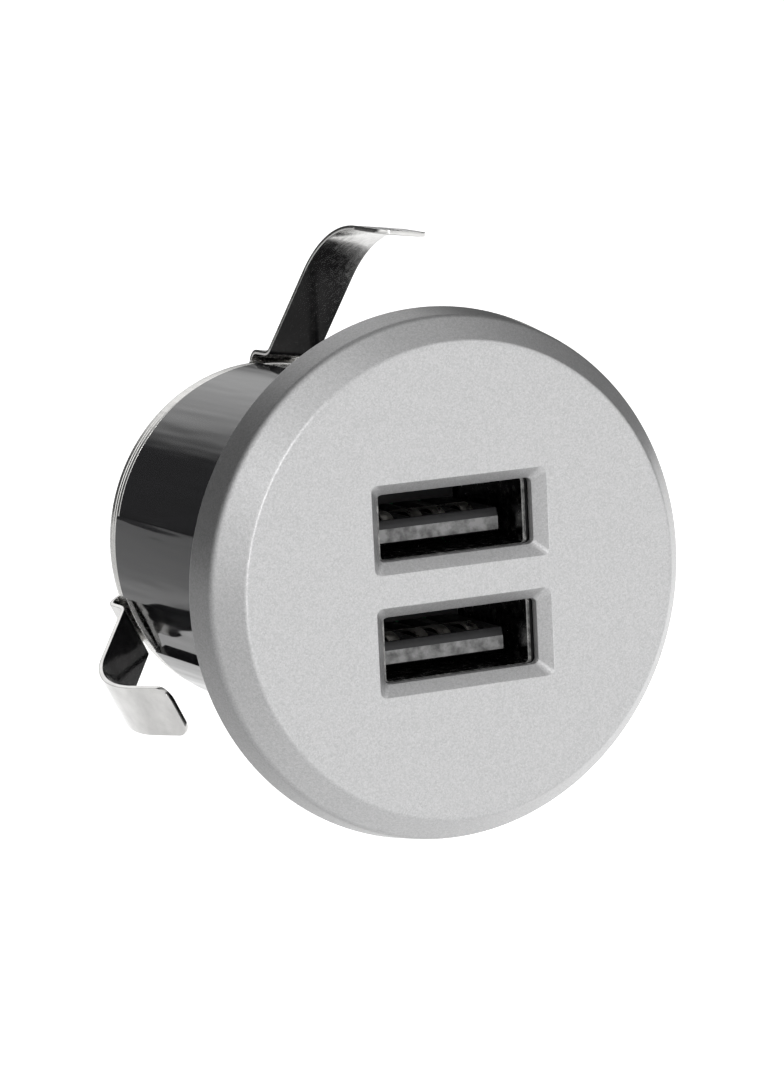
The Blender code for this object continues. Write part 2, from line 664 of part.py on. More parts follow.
def make_contact(port, level, index, x):
    """One springy contact arm. Its hinge, at its root, stands for its flex."""
    crest_z = TONGUE_TOP + CONTACT_CREST - CONTACT_THICKNESS / 2
    tip_y = TONGUE_FRONT_Y + GROOVE_LIP + CONTACT_GAP
    middle = [
        (CONTACT_PIVOT_Y + 0.2 * MM, CONTACT_ROOT_Z),
        (CONTACT_PIVOT_Y - 1.2 * MM, CONTACT_ROOT_Z + 0.05 * MM),
        (tip_y + 2.2 * MM, crest_z - 0.15 * MM),
        (tip_y + 1.5 * MM, crest_z),
        (tip_y + 0.9 * MM, crest_z - 0.12 * MM),
        (tip_y, crest_z - 0.55 * MM),
    ]
    half = CONTACT_WIDTH / 2
    data = bmesh.new()
    rings = []
    for y, z in middle:
        ring = []
        for side, face in ((-1, 1), (1, 1), (1, -1), (-1, -1)):
            ring.append(data.verts.new((side * half, y - CONTACT_PIVOT_Y,
                                        z - CONTACT_ROOT_Z + face * CONTACT_THICKNESS / 2)))
        rings.append(ring)
    for near, far in zip(rings, rings[1:]):
        for step in range(4):
            follow = (step + 1) % 4
            data.faces.new((near[step], near[follow], far[follow], far[step]))
    data.faces.new(rings[0])
    data.faces.new(rings[-1])
    contact = add_object("contact_%s_%d" % (port, index), data, contact_plating())
    contact.location = (x, CONTACT_PIVOT_Y, level + CONTACT_ROOT_Z)


def make_pin(port, level, index, x):
    middle = level + CONTACT_ROOT_Z
    block("pin_%s_%d" % (port, index),
          (x - PIN_WIDTH / 2, PIN_FRONT_Y, middle - PIN_HEIGHT / 2),
          (x + PIN_WIDTH / 2, PORT_BOARD_Y + BOARD_THICKNESS + PIN_OVERHANG,
           middle + PIN_HEIGHT / 2), contact_plating())


# Electronics

def make_port_board():
    radius = BODY_BORE_RADIUS - ASSEMBLY_GAP
    board = rod("port_board", radius, PORT_BOARD_Y, PORT_BOARD_Y + BOARD_THICKNESS,
                circuit_board(), facets=48)
    for port, level in PORTS.items():
        for index, x in enumerate(CONTACT_CENTRES, 1):
            cut(board, rod("pin_hole_cutter_%s_%d" % (port, index), PIN_HOLE_RADIUS,
                           PORT_BOARD_Y - CUT_OVERRUN,
                           PORT_BOARD_Y + BOARD_THICKNESS + CUT_OVERRUN,
                           centre=(x, level + CONTACT_ROOT_Z), facets=10))


def make_power_board():
    block("power_board",
          (-POWER_BOARD_WIDTH / 2, POWER_BOARD_Y, -POWER_BOARD_DROP - BOARD_THICKNESS / 2),
          (POWER_BOARD_WIDTH / 2, POWER_BOARD_Y + POWER_BOARD_LENGTH,
           -POWER_BOARD_DROP + BOARD_THICKNESS / 2), circuit_board())


def make_transformer():
    """A ferrite core with two windows, and the taped winding round its middle leg."""
    half_width, height, depth = 5.1 * MM, 8.6 * MM, 4.0 * MM
    leg_half, window_edge, yoke = 1.3 * MM, 3.9 * MM, 1.6 * MM
    middle = POWER_PARTS_Y + 7.1 * MM
    core = block("transformer_core", (-half_width, middle - depth / 2, BOARD_TOP),
                 (half_width, middle + depth / 2, BOARD_TOP + height), ferrite())
    for side in (-1, 1):
        low, high = sorted((side * leg_half, side * window_edge))
        cut(core, block("core_window_cutter_%d" % side,
                        (low, middle - depth, BOARD_TOP + yoke),
                        (high, middle + depth, BOARD_TOP + height - yoke)))
    gap = ASSEMBLY_GAP
    outer_x, outer_y = window_edge - gap, depth / 2 + 2.4 * MM
    bottom, top = BOARD_TOP + yoke + gap, BOARD_TOP + height - yoke - gap
    winding = block("transformer_winding", (-outer_x, middle - outer_y, bottom),
                    (outer_x, middle + outer_y, top), winding_tape(), bevel=0.5 * MM)
    cut(winding, block("winding_cutter", (-leg_half - gap, middle - depth / 2 - gap, bottom - gap),
                       (leg_half + gap, middle + depth / 2 + gap, top + gap)))


def make_capacitor(name, radius, length, x, front, level):
    """A can capacitor that lies along the board, with the groove near its open end."""
    back = front + length
    turned(name, [
        (0.0, front), (radius - 0.3 * MM, front), (radius, front + 0.3 * MM),
        (radius, front + 1.0 * MM), (radius - 0.25 * MM, front + 1.3 * MM),
        (radius, front + 1.6 * MM), (radius, back - 0.3 * MM), (radius - 0.3 * MM, back),
        (0.0, back),
    ], capacitor_sleeve(), 28, (x, level))


def make_power_parts():
    front = POWER_PARTS_Y
    make_capacitor("input_capacitor", 3.2 * MM, 9.0 * MM, 8.9 * MM, front,
                   BOARD_TOP + 3.2 * MM)
    make_capacitor("output_capacitor_1", 2.5 * MM, 8.0 * MM, -8.6 * MM, front,
                   BOARD_TOP + 2.5 * MM)
    make_capacitor("output_capacitor_2", 2.5 * MM, 8.0 * MM, -8.0 * MM, front,
                   BOARD_TOP + 2.5 * MM + 5.3 * MM)
    rod("safety_capacitor", 3.0 * MM, front + 12.1 * MM, front + 14.1 * MM,
        disc_blue(), (0.0, BOARD_TOP + 3.0 * MM), 28)
    block("bridge_rectifier", (-3.0 * MM, front, BOARD_UNDER - 2.2 * MM),
          (3.0 * MM, front + 3.0 * MM, BOARD_UNDER), component_black(), 0.2 * MM)
    block("controller_chip", (-2.5 * MM, front + 3.6 * MM, BOARD_UNDER - 1.5 * MM),
          (2.5 * MM, front + 6.8 * MM, BOARD_UNDER), component_black(), 0.15 * MM)
    block("output_diode", (5.2 * MM, front + 9.1 * MM, BOARD_UNDER - 2.2 * MM),
          (8.8 * MM, front + 11.9 * MM, BOARD_UNDER), component_black(), 0.15 * MM)
    rod("fuse", 1.5 * MM, front + 0.4 * MM, front + 7.4 * MM,
        terminal_green(), (7.4 * MM, BOARD_UNDER - 1.5 * MM), 20)
    make_choke()


def make_choke():
    """A drum choke: two flanges and a waist, standing under the board."""
    radius, waist, height, flange = 2.5 * MM, 2.0 * MM, 4.0 * MM, 0.7 * MM
    choke = turned("filter_choke", [
        (0.0, 0.0), (radius, 0.0), (radius, flange), (waist, flange),
        (waist, height - flange), (radius, height - flange), (radius, height), (0.0, height),
    ], ferrite(), 28)
    choke.data.transform(Matrix.Rotation(math.radians(-90.0), 4, "X"))
    choke.data.transform(Matrix.Translation((-6.2 * MM, POWER_PARTS_Y + 3.6 * MM, BOARD_UNDER)))


def make_terminal_block():
    """The two-pole block that clamps the cord's wires, with its two screws."""
    half, depth = 4.0 * MM, 5.6 * MM
    bottom = ASSEMBLY_GAP + BOSS_RADIUS - BOSS_PITCH_RADIUS      # above the nearest boss
    front = POWER_PARTS_Y + 7.7 * MM
    well_depth, entry_half, entry_wall = 2.2 * MM, 1.3 * MM, 0.8 * MM
    screw_radius, screw_sink = 0.9 * MM, 0.3 * MM
    base = block("terminal_block", (-half, front, bottom), (half, front + depth, BOARD_UNDER),
                 terminal_green())
    turn_down = Matrix.Rotation(math.radians(90.0), 4, "X")
    for index, x in enumerate((-half / 2, half / 2), 1):
        cut(base, block("wire_entry_cutter_%d" % index,
                        (x - entry_half, front + 2.0 * MM, bottom + well_depth),
                        (x + entry_half, front + depth + CUT_OVERRUN,
                         BOARD_UNDER - entry_wall)))
        place = Matrix.Translation((x, front + depth / 2, bottom)) @ turn_down
        well = rod("screw_well_cutter_%d" % index, screw_radius + SCREW_GAP, -CUT_OVERRUN,
                   well_depth + CUT_OVERLAP, facets=16)
        well.data.transform(place)
        cut(base, well)
        screw = rod("terminal_screw_%d" % index, screw_radius, screw_sink,
                    well_depth - CUT_OVERLAP, plated_steel(), facets=16)
        screw.data.transform(place)


def clear_scene():
    for old in list(bpy.data.objects):
        bpy.data.objects.remove(old, do_unlink=True)


def main():
    clear_scene()
    make_face_plate()
    make_body_shell()
    make_port_frame()
    make_rear_cap()
    make_spring_hub()
    for name, (clock, leg_set) in LEGS.items():
        make_leg(name, clock, leg_set)
    for index, clock in enumerate(SCREW_CLOCKS, 1):
        make_hub_screw("hub_screw_%d" % index, clock)
    make_cable_grommet()
    for port, level in PORTS.items():
        make_usb_shell(port, level)
        make_usb_insulator(port, level)
        for index, x in enumerate(CONTACT_CENTRES, 1):
            make_contact(port, level, index, x)
            make_pin(port, level, index, x)
    make_port_board()
    make_power_board()
    make_transformer()
    make_power_parts()
    make_terminal_block()


main()
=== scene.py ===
"""Looks of a flush-mount twin USB charger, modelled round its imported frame.

The charger's axis is the Y axis and its face looks along -Y. Outlines of turned pieces are
written as (radius, y) and clock angles run clockwise from +Z as seen from the front. Each
operator makes one piece, or one group of like pieces, and the sizes and colours that shape
them are in the property groups.
"""

import json
import math
from functools import cache

import bmesh
import bpy
from bpy.props import FloatProperty, FloatVectorProperty, IntProperty, PointerProperty
from mathutils import Matrix, Vector


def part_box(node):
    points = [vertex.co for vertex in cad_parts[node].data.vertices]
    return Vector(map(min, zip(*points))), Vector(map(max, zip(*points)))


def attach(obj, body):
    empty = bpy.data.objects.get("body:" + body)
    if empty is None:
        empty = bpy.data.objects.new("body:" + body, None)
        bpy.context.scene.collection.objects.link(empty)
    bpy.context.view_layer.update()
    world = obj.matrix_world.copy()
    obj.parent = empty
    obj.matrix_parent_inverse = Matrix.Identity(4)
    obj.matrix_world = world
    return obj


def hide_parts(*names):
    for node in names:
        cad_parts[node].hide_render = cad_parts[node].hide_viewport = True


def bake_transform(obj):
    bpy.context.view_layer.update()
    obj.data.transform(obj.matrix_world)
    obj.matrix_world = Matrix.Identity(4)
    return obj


bl_info = {
    "name": "Flush-mount USB charger",
    "version": (1, 0, 0),
    "blender": (4, 5, 0),
    "location": "3D View > Sidebar > Charger",
    "description": "Models the visible pieces of a twin USB charger round its frame",
    "category": "Object",
}

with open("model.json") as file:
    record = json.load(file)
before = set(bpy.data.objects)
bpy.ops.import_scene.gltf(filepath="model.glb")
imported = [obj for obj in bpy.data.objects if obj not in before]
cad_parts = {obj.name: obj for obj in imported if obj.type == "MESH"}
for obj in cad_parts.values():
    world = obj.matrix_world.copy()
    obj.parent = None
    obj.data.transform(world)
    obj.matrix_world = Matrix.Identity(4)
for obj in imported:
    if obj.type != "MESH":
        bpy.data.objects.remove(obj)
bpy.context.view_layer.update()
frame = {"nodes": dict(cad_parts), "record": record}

MM = 0.001

# Places that the frame gives
PLATE_LOW, PLATE_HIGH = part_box("face_plate")
BODY_LOW, BODY_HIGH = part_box("body_shell")
CAP_LOW, CAP_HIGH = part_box("rear_cap")
HUB_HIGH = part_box("spring_hub")[1]
SHELL_LOW, SHELL_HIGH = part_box("usb_shell_upper")
PORT_LEVEL = (SHELL_LOW.z + SHELL_HIGH.z) / 2
PORT_DROP = sum(corner.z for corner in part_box("usb_shell_lower")) / 2 - PORT_LEVEL
LEGS = {  # name: (clock angle, degrees from the axis at rest)
    "leg_top": (8.0, 52.2),
    "leg_right": (126.0, 45.5),
    "leg_left": (244.0, 38.8),
}
LEG_HINGE_Y = 27.38 * MM
SCREW_CLOCKS = (67.0, 185.0, 306.0)
SCREW_HOLE = 1.2 * MM
CLIP_GAP = 0.3 * MM  # between the cap and the clip's ring
# A retaining spring of a port, as (y, how far it stands in from the wall) in millimetres
PORT_SPRING = ((7.0, 0.0), (6.2, 0.0), (4.4, 0.22), (2.6, 0.5), (1.9, 0.52), (1.2, 0.36),
               (0.8, 0.1))
CONTACT_CENTRES = (-3.5 * MM, -1.0 * MM, 1.0 * MM, 3.5 * MM)
ALL_AROUND = 360.0
MERGE = 0.002 * MM

# The stage's light boxes: direction, radiance setting, and the angles from the direction
# at which a box is still at its full radiance and at which it has faded out
LIGHT_BOXES = (
    ((0.15, 0.84, 0.54), "back_light", 6.0, 27.0),
    ((-0.88, -0.45, 0.05), "left_light", 15.0, 55.0),
    ((-0.50, -0.25, 0.83), "upper_light", 10.0, 42.0),
    ((0.45, -0.40, 0.80), "top_light", 12.0, 45.0),
    ((0.50, -0.85, 0.12), "front_light", 20.0, 58.0),
)
PAINTED_GLOW_RIGHT = (0.93, -0.37, 0.0)  # the way along which the floor's painted glow grows brighter
FLOOR_WIDTH = 60.0
CAMERA_PLACE = (-160.29 * MM, -307.39 * MM, 56.59 * MM)
CAMERA_FORWARD = (0.4495, 0.8803, -0.1518)
CAMERA_RIGHT = (0.8863, -0.4607, -0.0468)


def length(name, description, millimetres):
    return FloatProperty(name=name, description=description, default=millimetres * MM,
                         min=0.0, unit="LENGTH", precision=5)


def tint(name, description, colour):
    return FloatVectorProperty(name=name, description=description, default=colour, size=3,
                               min=0.0, max=1.0, subtype="COLOR")


def share(name, description, value, high=1.0):
    return FloatProperty(name=name, description=description, default=value, min=0.0,
                         max=high, subtype="FACTOR")


class PlateSizes(bpy.types.PropertyGroup):
    """Front plate: its flange, bevel and port windows."""

    bevel_width: length("Bevel width", "How far the bevel comes in from the rim", 1.9)
    bevel_depth: length("Bevel depth", "Height of the bevel along the axis", 2.35)
    rim_draft: length("Rim draft", "How much the rim narrows towards the bevel", 0.45)
    face_soft: length("Face edge", "Round of the edge between face and bevel", 0.26)
    rim_soft: length("Rim edge", "Round of the edge between bevel and rim", 0.4)
    wall: length("Wall", "Thickness of the face's wall", 1.6)
    cup_radius: length("Cup radius", "Inner radius round the body's collar", 17.65)
    lip_radius: length("Lip radius", "Inner radius of the snap lip", 17.0)
    lip_depth: length("Lip depth", "Depth of the snap lip", 1.3)
    window_width: length("Window width", "Width of a port window", 13.5)
    window_height: length("Window height", "Height of a port window", 5.2)
    window_chamfer: length("Window chamfer", "Width of the chamfer round a window", 0.9)
    window_chamfer_depth: length("Chamfer depth", "Depth of that chamfer", 0.95)
    window_corner: length("Window corner", "Corner radius at the window's bottom", 0.3)
    window_soft: length("Window edge", "Round of the window's painted edges", 0.13)
    paint: tint("Paint", "Silver paint of the plate", (0.45, 0.45, 0.453))
    flake: share("Flake", "How strongly the paint's flakes differ", 0.3)
    # rim_tone: painted shade, the share to which the rim's paint is darkened to stand in for the
    # shade that falls on it
    rim_tone: share("Rim tone", "Thinner, duller paint on the rim, as a share", 0.54)


class HousingSizes(bpy.types.PropertyGroup):
    """Round black body behind the plate."""

    radius: length("Body radius", "Outer radius of the body", 14.4)
    wall: length("Wall", "Thickness of the body's wall", 1.6)
    collar_radius: length("Collar radius", "Radius of the collar inside the plate", 17.35)
    collar_depth: length("Collar depth", "Depth of that collar", 1.8)
    land_rise: length("Land rise", "Height of the raised land beside a leg", 0.25)
    channel_width: length("Channel width", "Width of the channel under a leg", 5.5)
    channel_depth: length("Channel depth", "Depth of that channel", 0.8)
    channel_start: length("Channel start", "Front end of the channel", 4.5)
    edge: length("Edge", "Round of the body's edges", 0.08)
    screw_radius: length("Screw circle", "Radius of the circle of screws", 11.1)
    gloss: tint("Gloss black", "Colour of the moulded body", (0.011, 0.011, 0.012))


class ClipSizes(bpy.types.PropertyGroup):
    """Spring clip at the rear, with its three legs."""

    width: length("Strip width", "Width of the spring strip", 4.5)
    thickness: length("Strip thickness", "Thickness of the spring strip", 0.36)
    bore: length("Ring bore", "Inner radius of the clip's ring", 6.0)
    rim: length("Ring rim", "Outer radius of the clip's ring", 12.65)
    knee_height: length("Knee height", "Radius at which the knee runs forward", 14.95)
    knee_bend: length("Knee bend", "Bend radius at the rear of the knee", 0.9)
    leg_bend: length("Leg bend", "Round of the bend between knee and leg", 0.6)
    straight: length("Leg straight", "Length of a leg's straight run", 9.0)
    elbow: length("Elbow radius", "Bend radius of a leg's elbow", 10.6)
    elbow_turn: FloatProperty(name="Elbow turn", description="Angle of a leg's elbow",
                              default=math.radians(53.3), subtype="ANGLE")
    pad: length("Pad length", "Length of the pad past the elbow", 4.6)
    pad_corner: length("Pad corner", "Corner radius of the pad", 1.3)
    edge: length("Edge", "Broken edge of the strip", 0.035)
    steel: tint("Spring steel", "Polished face of the strip", (0.6, 0.595, 0.585))
    sheared: tint("Sheared edge", "Cut edge of the strip", (0.34, 0.338, 0.335))


class PortSizes(bpy.types.PropertyGroup):
    """USB receptacles."""

    sheet: length("Sheet", "Thickness of the receptacle's steel", 0.3)
    corner: length("Shell corner", "Outer corner radius of the steel shell", 0.6)
    spring_width: length("Spring width", "Width of a retaining spring", 2.0)
    tongue_gap: length("Tongue gap", "Space beside the tongue", 0.7)
    tongue_floor: length("Tongue floor", "Space under the tongue", 0.7)
    tongue_height: length("Tongue height", "Thickness of the tongue", 1.84)
    tongue_recess: length("Tongue recess", "From the shell's edge to the tongue", 2.2)
    contact_width: length("Contact width", "Width of a contact", 1.0)
    contact_sheet: length("Contact sheet", "Thickness of a contact", 0.2)
    contact_crest: length("Contact crest", "Height of a contact above the tongue", 0.4)
    nickel: tint("Nickel", "Plated steel of the cap and screws", (0.66, 0.655, 0.64))
    plating: tint("Contact plating", "Bright plating of the contacts", (0.8, 0.78, 0.74))
    plastic: tint("Port plastic", "Dark plastic of the tongue", (0.022, 0.022, 0.023))


class StageSettings(bpy.types.PropertyGroup):
    """Floor, lights, camera and how finely large pieces are turned."""

    floor_drop: length("Floor drop", "From the axis down to the floor", 62.0)
    lens: FloatProperty(name="Lens", description="Focal length in millimetres",
                        default=151.97, min=20.0)
    facets: IntProperty(name="Facets", description="Steps round a large turned piece",
                        default=192, min=48, max=512)
    floor_colour: tint("Floor", "Pale floor", (0.93, 0.93, 0.93))
    # Painted light: the floor glows by emission, and floor_shade is the share of that glow left
    # in the painted shadow under the charger and at the far left
    floor_glow: share("Floor glow", "Light of the lit table under the floor", 0.6, 4.0)
    floor_shade: share("Floor shade", "Share of that light under the charger", 0.0)
    room_light: share("Room light", "Dim light of the room", 0.07, 4.0)
    back_light: share("Back light", "Radiance of the box above and behind", 1.2, 40.0)
    left_light: share("Left light", "Radiance of the box at the left", 1.15, 40.0)
    upper_light: share("Upper light", "Radiance of the box at the upper left", 1.1, 40.0)
    top_light: share("Top light", "Radiance of the box overhead", 0.55, 40.0)
    front_light: share("Front light", "Radiance of the box at the front right", 1.05, 40.0)
    edge_light: share("Edge light", "Radiance of the narrow strip in front", 12.0, 40.0)
    floor_light: share("Floor light", "Radiance of the box over the floor", 0.15, 40.0)


# Bench work: small steps that every piece shares

def set_down():
    """Leaves edit mode and deselects everything."""
    if bpy.context.mode != "OBJECT":
        bpy.ops.object.mode_set(mode="OBJECT")
    bpy.ops.object.select_all(action="DESELECT")


def take(piece):
    """Selects one piece alone and makes it the active one."""
    set_down()
    piece.select_set(True)
    bpy.context.view_layer.objects.active = piece
    return piece


def open_mesh(piece):
    take(piece)
    bpy.ops.object.mode_set(mode="EDIT")


def name_new(name):
    """Names the object that was just added, and its mesh."""
    piece = bpy.context.active_object
    piece.name = name
    piece.data.name = name
    return piece


def choose(piece, kind, test):
    """Selects, in edit mode, the vertices, edges or faces that pass a test."""
    bpy.ops.mesh.select_mode(type=kind)
    bpy.ops.mesh.select_all(action="DESELECT")
    data = bmesh.from_edit_mesh(piece.data)
    group = {"VERT": data.verts, "EDGE": data.edges, "FACE": data.faces}[kind]
    for item in group:
        item.select_set(bool(test(item)))
    if kind == "VERT":
        data.select_flush(True)
    bmesh.update_edit_mesh(piece.data)


def tidy_mesh(piece, reach=MERGE):
    """Merges doubles and turns the faces out."""
    open_mesh(piece)
    bpy.ops.mesh.select_mode(type="VERT")
    bpy.ops.mesh.select_all(action="SELECT")
    bpy.ops.mesh.remove_doubles(threshold=reach)
    bpy.ops.mesh.dissolve_degenerate(threshold=reach)
    bpy.ops.mesh.normals_make_consistent(inside=False)
    bpy.ops.object.mode_set(mode="OBJECT")
    return piece


def set_in_place(piece):
    """Moves a piece's place, turn and scale into its mesh."""
    take(piece)
    bpy.ops.object.transform_apply(location=True, rotation=True, scale=True)
    return piece


def apply_modifier(piece, kind, **settings):
    """Adds a modifier with its settings and applies it."""
    take(piece)
    made = piece.modifiers.new(kind.title(), kind)
    for name, value in settings.items():
        setattr(made, name, value)
    bpy.ops.object.modifier_apply(modifier=made.name)
    return piece


def combine(piece, tool, operation):
    """Adds a tool to a piece or cuts it away, and removes the tool."""
    apply_modifier(piece, "BOOLEAN", object=tool, operation=operation, solver="EXACT")
    bpy.data.objects.remove(tool, do_unlink=True)
    return piece


def soften(piece, width, segments=2, angle=35.0, face_finish=-1):
    """Rounds every edge that is sharper than an angle."""
    return apply_modifier(piece, "BEVEL", width=width, segments=segments,
                          limit_method="ANGLE", angle_limit=math.radians(angle),
                          use_clamp_overlap=True, material=face_finish)


def turn_clock(piece, clock):
    """Turns a piece made at clock angle 0 about the charger's axis."""
    piece.rotation_euler = (0.0, math.radians(clock), 0.0)
    return set_in_place(piece)


def copy_piece(piece, name, shift=(0.0, 0.0, 0.0)):
    """Copies a piece with its own mesh, moved by a shift."""
    take(piece)
    bpy.ops.object.duplicate()
    made = name_new(name)
    made.location = shift
    return set_in_place(made)


def clock_place(clock, radius, y=0.0):
    """The point at a clock angle, a radius from the axis and a place y along it."""
    turn = math.radians(clock)
    return Vector((radius * math.sin(turn), y, radius * math.cos(turn)))


def round_corners(points, steps=4, closed=True):
    """An outline whose third number, where given, is how far a corner is rounded."""
    made = []
    count = len(points)
    for index, point in enumerate(points):
        here = Vector(point[:2])
        reach = point[2] if len(point) > 2 else 0.0
        at_end = not closed and index in (0, count - 1)
        if reach <= 0.0 or at_end:
            made.append(tuple(here))
            continue
        before = Vector(points[(index - 1) % count][:2])
        after = Vector(points[(index + 1) % count][:2])
        start = here + (before - here).normalized() * reach
        end = here + (after - here).normalized() * reach
        for step in range(steps + 1):
            part = step / steps
            near = start.lerp(here, part)
            far = here.lerp(end, part)
            made.append(tuple(near.lerp(far, part)))
    return made


def open_plane(name, size, place, upright=False):
    """Adds a plane, flat or upright across the Y axis, and opens it with all selected."""
    set_down()
    turn = (math.radians(90.0) if upright else 0.0, 0.0, 0.0)
    bpy.ops.mesh.primitive_plane_add(size=size, location=place, rotation=turn)
    piece = name_new(name)
    bpy.ops.object.mode_set(mode="EDIT")
    bpy.ops.mesh.select_all(action="SELECT")
    return piece


def turned(name, outline, facets, closed=True, sweep=ALL_AROUND):
    """Draws an outline of (radius, y) point by point and spins it round the Y axis."""
    here = outline[0]
    piece = open_plane(name, MM, (here[0], here[1], 0.0))
    bpy.ops.mesh.select_mode(type="VERT")
    bpy.ops.mesh.select_all(action="SELECT")
    bpy.ops.mesh.merge(type="CENTER")
    for point in list(outline[1:]) + ([outline[0]] if closed else []):
        step = (point[0] - here[0], point[1] - here[1], 0.0)
        bpy.ops.mesh.extrude_region_move(TRANSFORM_OT_translate={"value": step})
        here = point
    bpy.ops.mesh.select_all(action="SELECT")
    bpy.ops.mesh.remove_doubles(threshold=MERGE)
    bpy.ops.mesh.spin(steps=facets, angle=math.radians(sweep), center=(0.0, 0.0, 0.0),
                      axis=(0.0, 1.0, 0.0))
    bpy.ops.mesh.select_all(action="SELECT")
    bpy.ops.mesh.remove_doubles(threshold=MERGE)
    if not closed or sweep < ALL_AROUND:
        bpy.ops.mesh.fill_holes(sides=0)
    bpy.ops.object.mode_set(mode="OBJECT")
    tidy_mesh(piece)
    return set_in_place(piece)


def slab(name, place, width, height, corner, stages, segments=4):
    """A rounded plane facing along Y, extruded by stages of (y step, width, height, rise)."""
    piece = open_plane(name, 1.0, place, upright=True)
    bpy.ops.transform.resize(value=(width, 1.0, height))
    if corner > 0.0:
        bpy.ops.mesh.bevel(offset=corner, segments=segments, affect="VERTICES")
    at = Vector(place)
    bpy.ops.mesh.select_all(action="SELECT")
    for step, new_width, new_height, rise in stages:
        move = Vector((0.0, step, rise))
        bpy.ops.mesh.extrude_region_move(TRANSFORM_OT_translate={"value": move})
        at += move
        bpy.ops.transform.resize(value=(new_width / width, 1.0, new_height / height),
                                 center_override=at)
        width, height = new_width, new_height
    tidy_mesh(piece)
    return set_in_place(piece)


def box(name, low, high):
    """A straight tool between two corners, drawn as a slab."""
    low, high = Vector(low), Vector(high)
    middle = (low + high) / 2
    size = high - low
    return slab(name, (middle.x, low.y, middle.z), size.x, size.z, 0.0,
                [(size.y, size.x, size.z, 0.0)])


def round_bar(name, place, radius, depth):
    """A straight round tool along Y that starts at a place."""
    set_down()
    middle = Vector(place) + Vector((0.0, depth / 2, 0.0))
    bpy.ops.mesh.primitive_cylinder_add(vertices=32, radius=radius, depth=depth,
                                        location=middle,
                                        rotation=(math.radians(90.0), 0.0, 0.0))
    return set_in_place(name_new(name))


def strip(name, width, path, thickness, end_corner=0.0, edge=0.0):
    """A flat strip, one plane carried edge by edge along path, points of (y, height)."""
    piece = open_plane(name, width, (0.0, 0.0, 0.0))
    half = width / 2
    tiny = 1e-7
    choose(piece, "VERT", lambda corner: corner.co.y < 0.0)
    bpy.ops.transform.translate(value=(0.0, path[0][0] + half, path[0][1]))
    choose(piece, "VERT", lambda corner: abs(corner.co.y - half) < tiny
           and abs(corner.co.z) < tiny)
    bpy.ops.transform.translate(value=(0.0, path[1][0] - half, path[1][1]))
    for before, after in zip(path[1:], path[2:]):
        step = (0.0, after[0] - before[0], after[1] - before[1])
        bpy.ops.mesh.extrude_region_move(TRANSFORM_OT_translate={"value": step})
    if end_corner > 0.0:
        bpy.ops.mesh.bevel(offset=end_corner, segments=8, affect="VERTICES")
    bpy.ops.object.mode_set(mode="OBJECT")
    apply_modifier(piece, "SOLIDIFY", thickness=thickness, offset=0.0,
                   use_even_offset=True, material_offset_rim=1)
    if edge > 0.0:
        soften(piece, edge, 2, 60.0, 1)
    return tidy_mesh(piece)


def arc_path(start, heading, turn, radius, steps):
    """Points of (y, height) on an arc that leaves start at heading degrees from -Y."""
    sign = 1.0 if turn > 0 else -1.0
    angle = math.radians(heading)
    side = Vector((math.sin(angle), math.cos(angle))) * sign
    centre = Vector(start) + side * radius
    points = []
    for step in range(1, steps + 1):
        now = math.radians(heading + turn * step / steps)
        points.append(tuple(centre - Vector((math.sin(now), math.cos(now))) * sign * radius))
    return points


def onward(start, heading, reach):
    """The point of (y, height) a reach from start at heading degrees from -Y."""
    angle = math.radians(heading)
    return start[0] - reach * math.cos(angle), start[1] + reach * math.sin(angle)


def finish_piece(piece, finishes, body=None, nodes=(), smooth=38.0):
    """Smooths a piece, gives it its finishes by name and ties it to the frame."""
    set_in_place(piece)
    bpy.ops.object.shade_smooth_by_angle(angle=math.radians(smooth))
    apply_modifier(piece, "WEIGHTED_NORMAL", mode="FACE_AREA", weight=80, keep_sharp=True)
    for name in finishes:
        piece.data.materials.append(finish(name))
    if nodes:
        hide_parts(*nodes)
    if body:
        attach(piece, body)
    return piece


# Finishes

def add_node(tree, kind, sources=(), operation=None, **values):
    """Adds a shader node, sets its sockets by name and links sources to others."""
    node = tree.nodes.new("ShaderNode" + kind)
    if operation:
        node.operation = operation
    for socket, value in values.items():
        node.inputs[socket.replace("_", " ")].default_value = value
    for socket, source in sources:
        tree.links.new(source, node.inputs[socket])
    return node


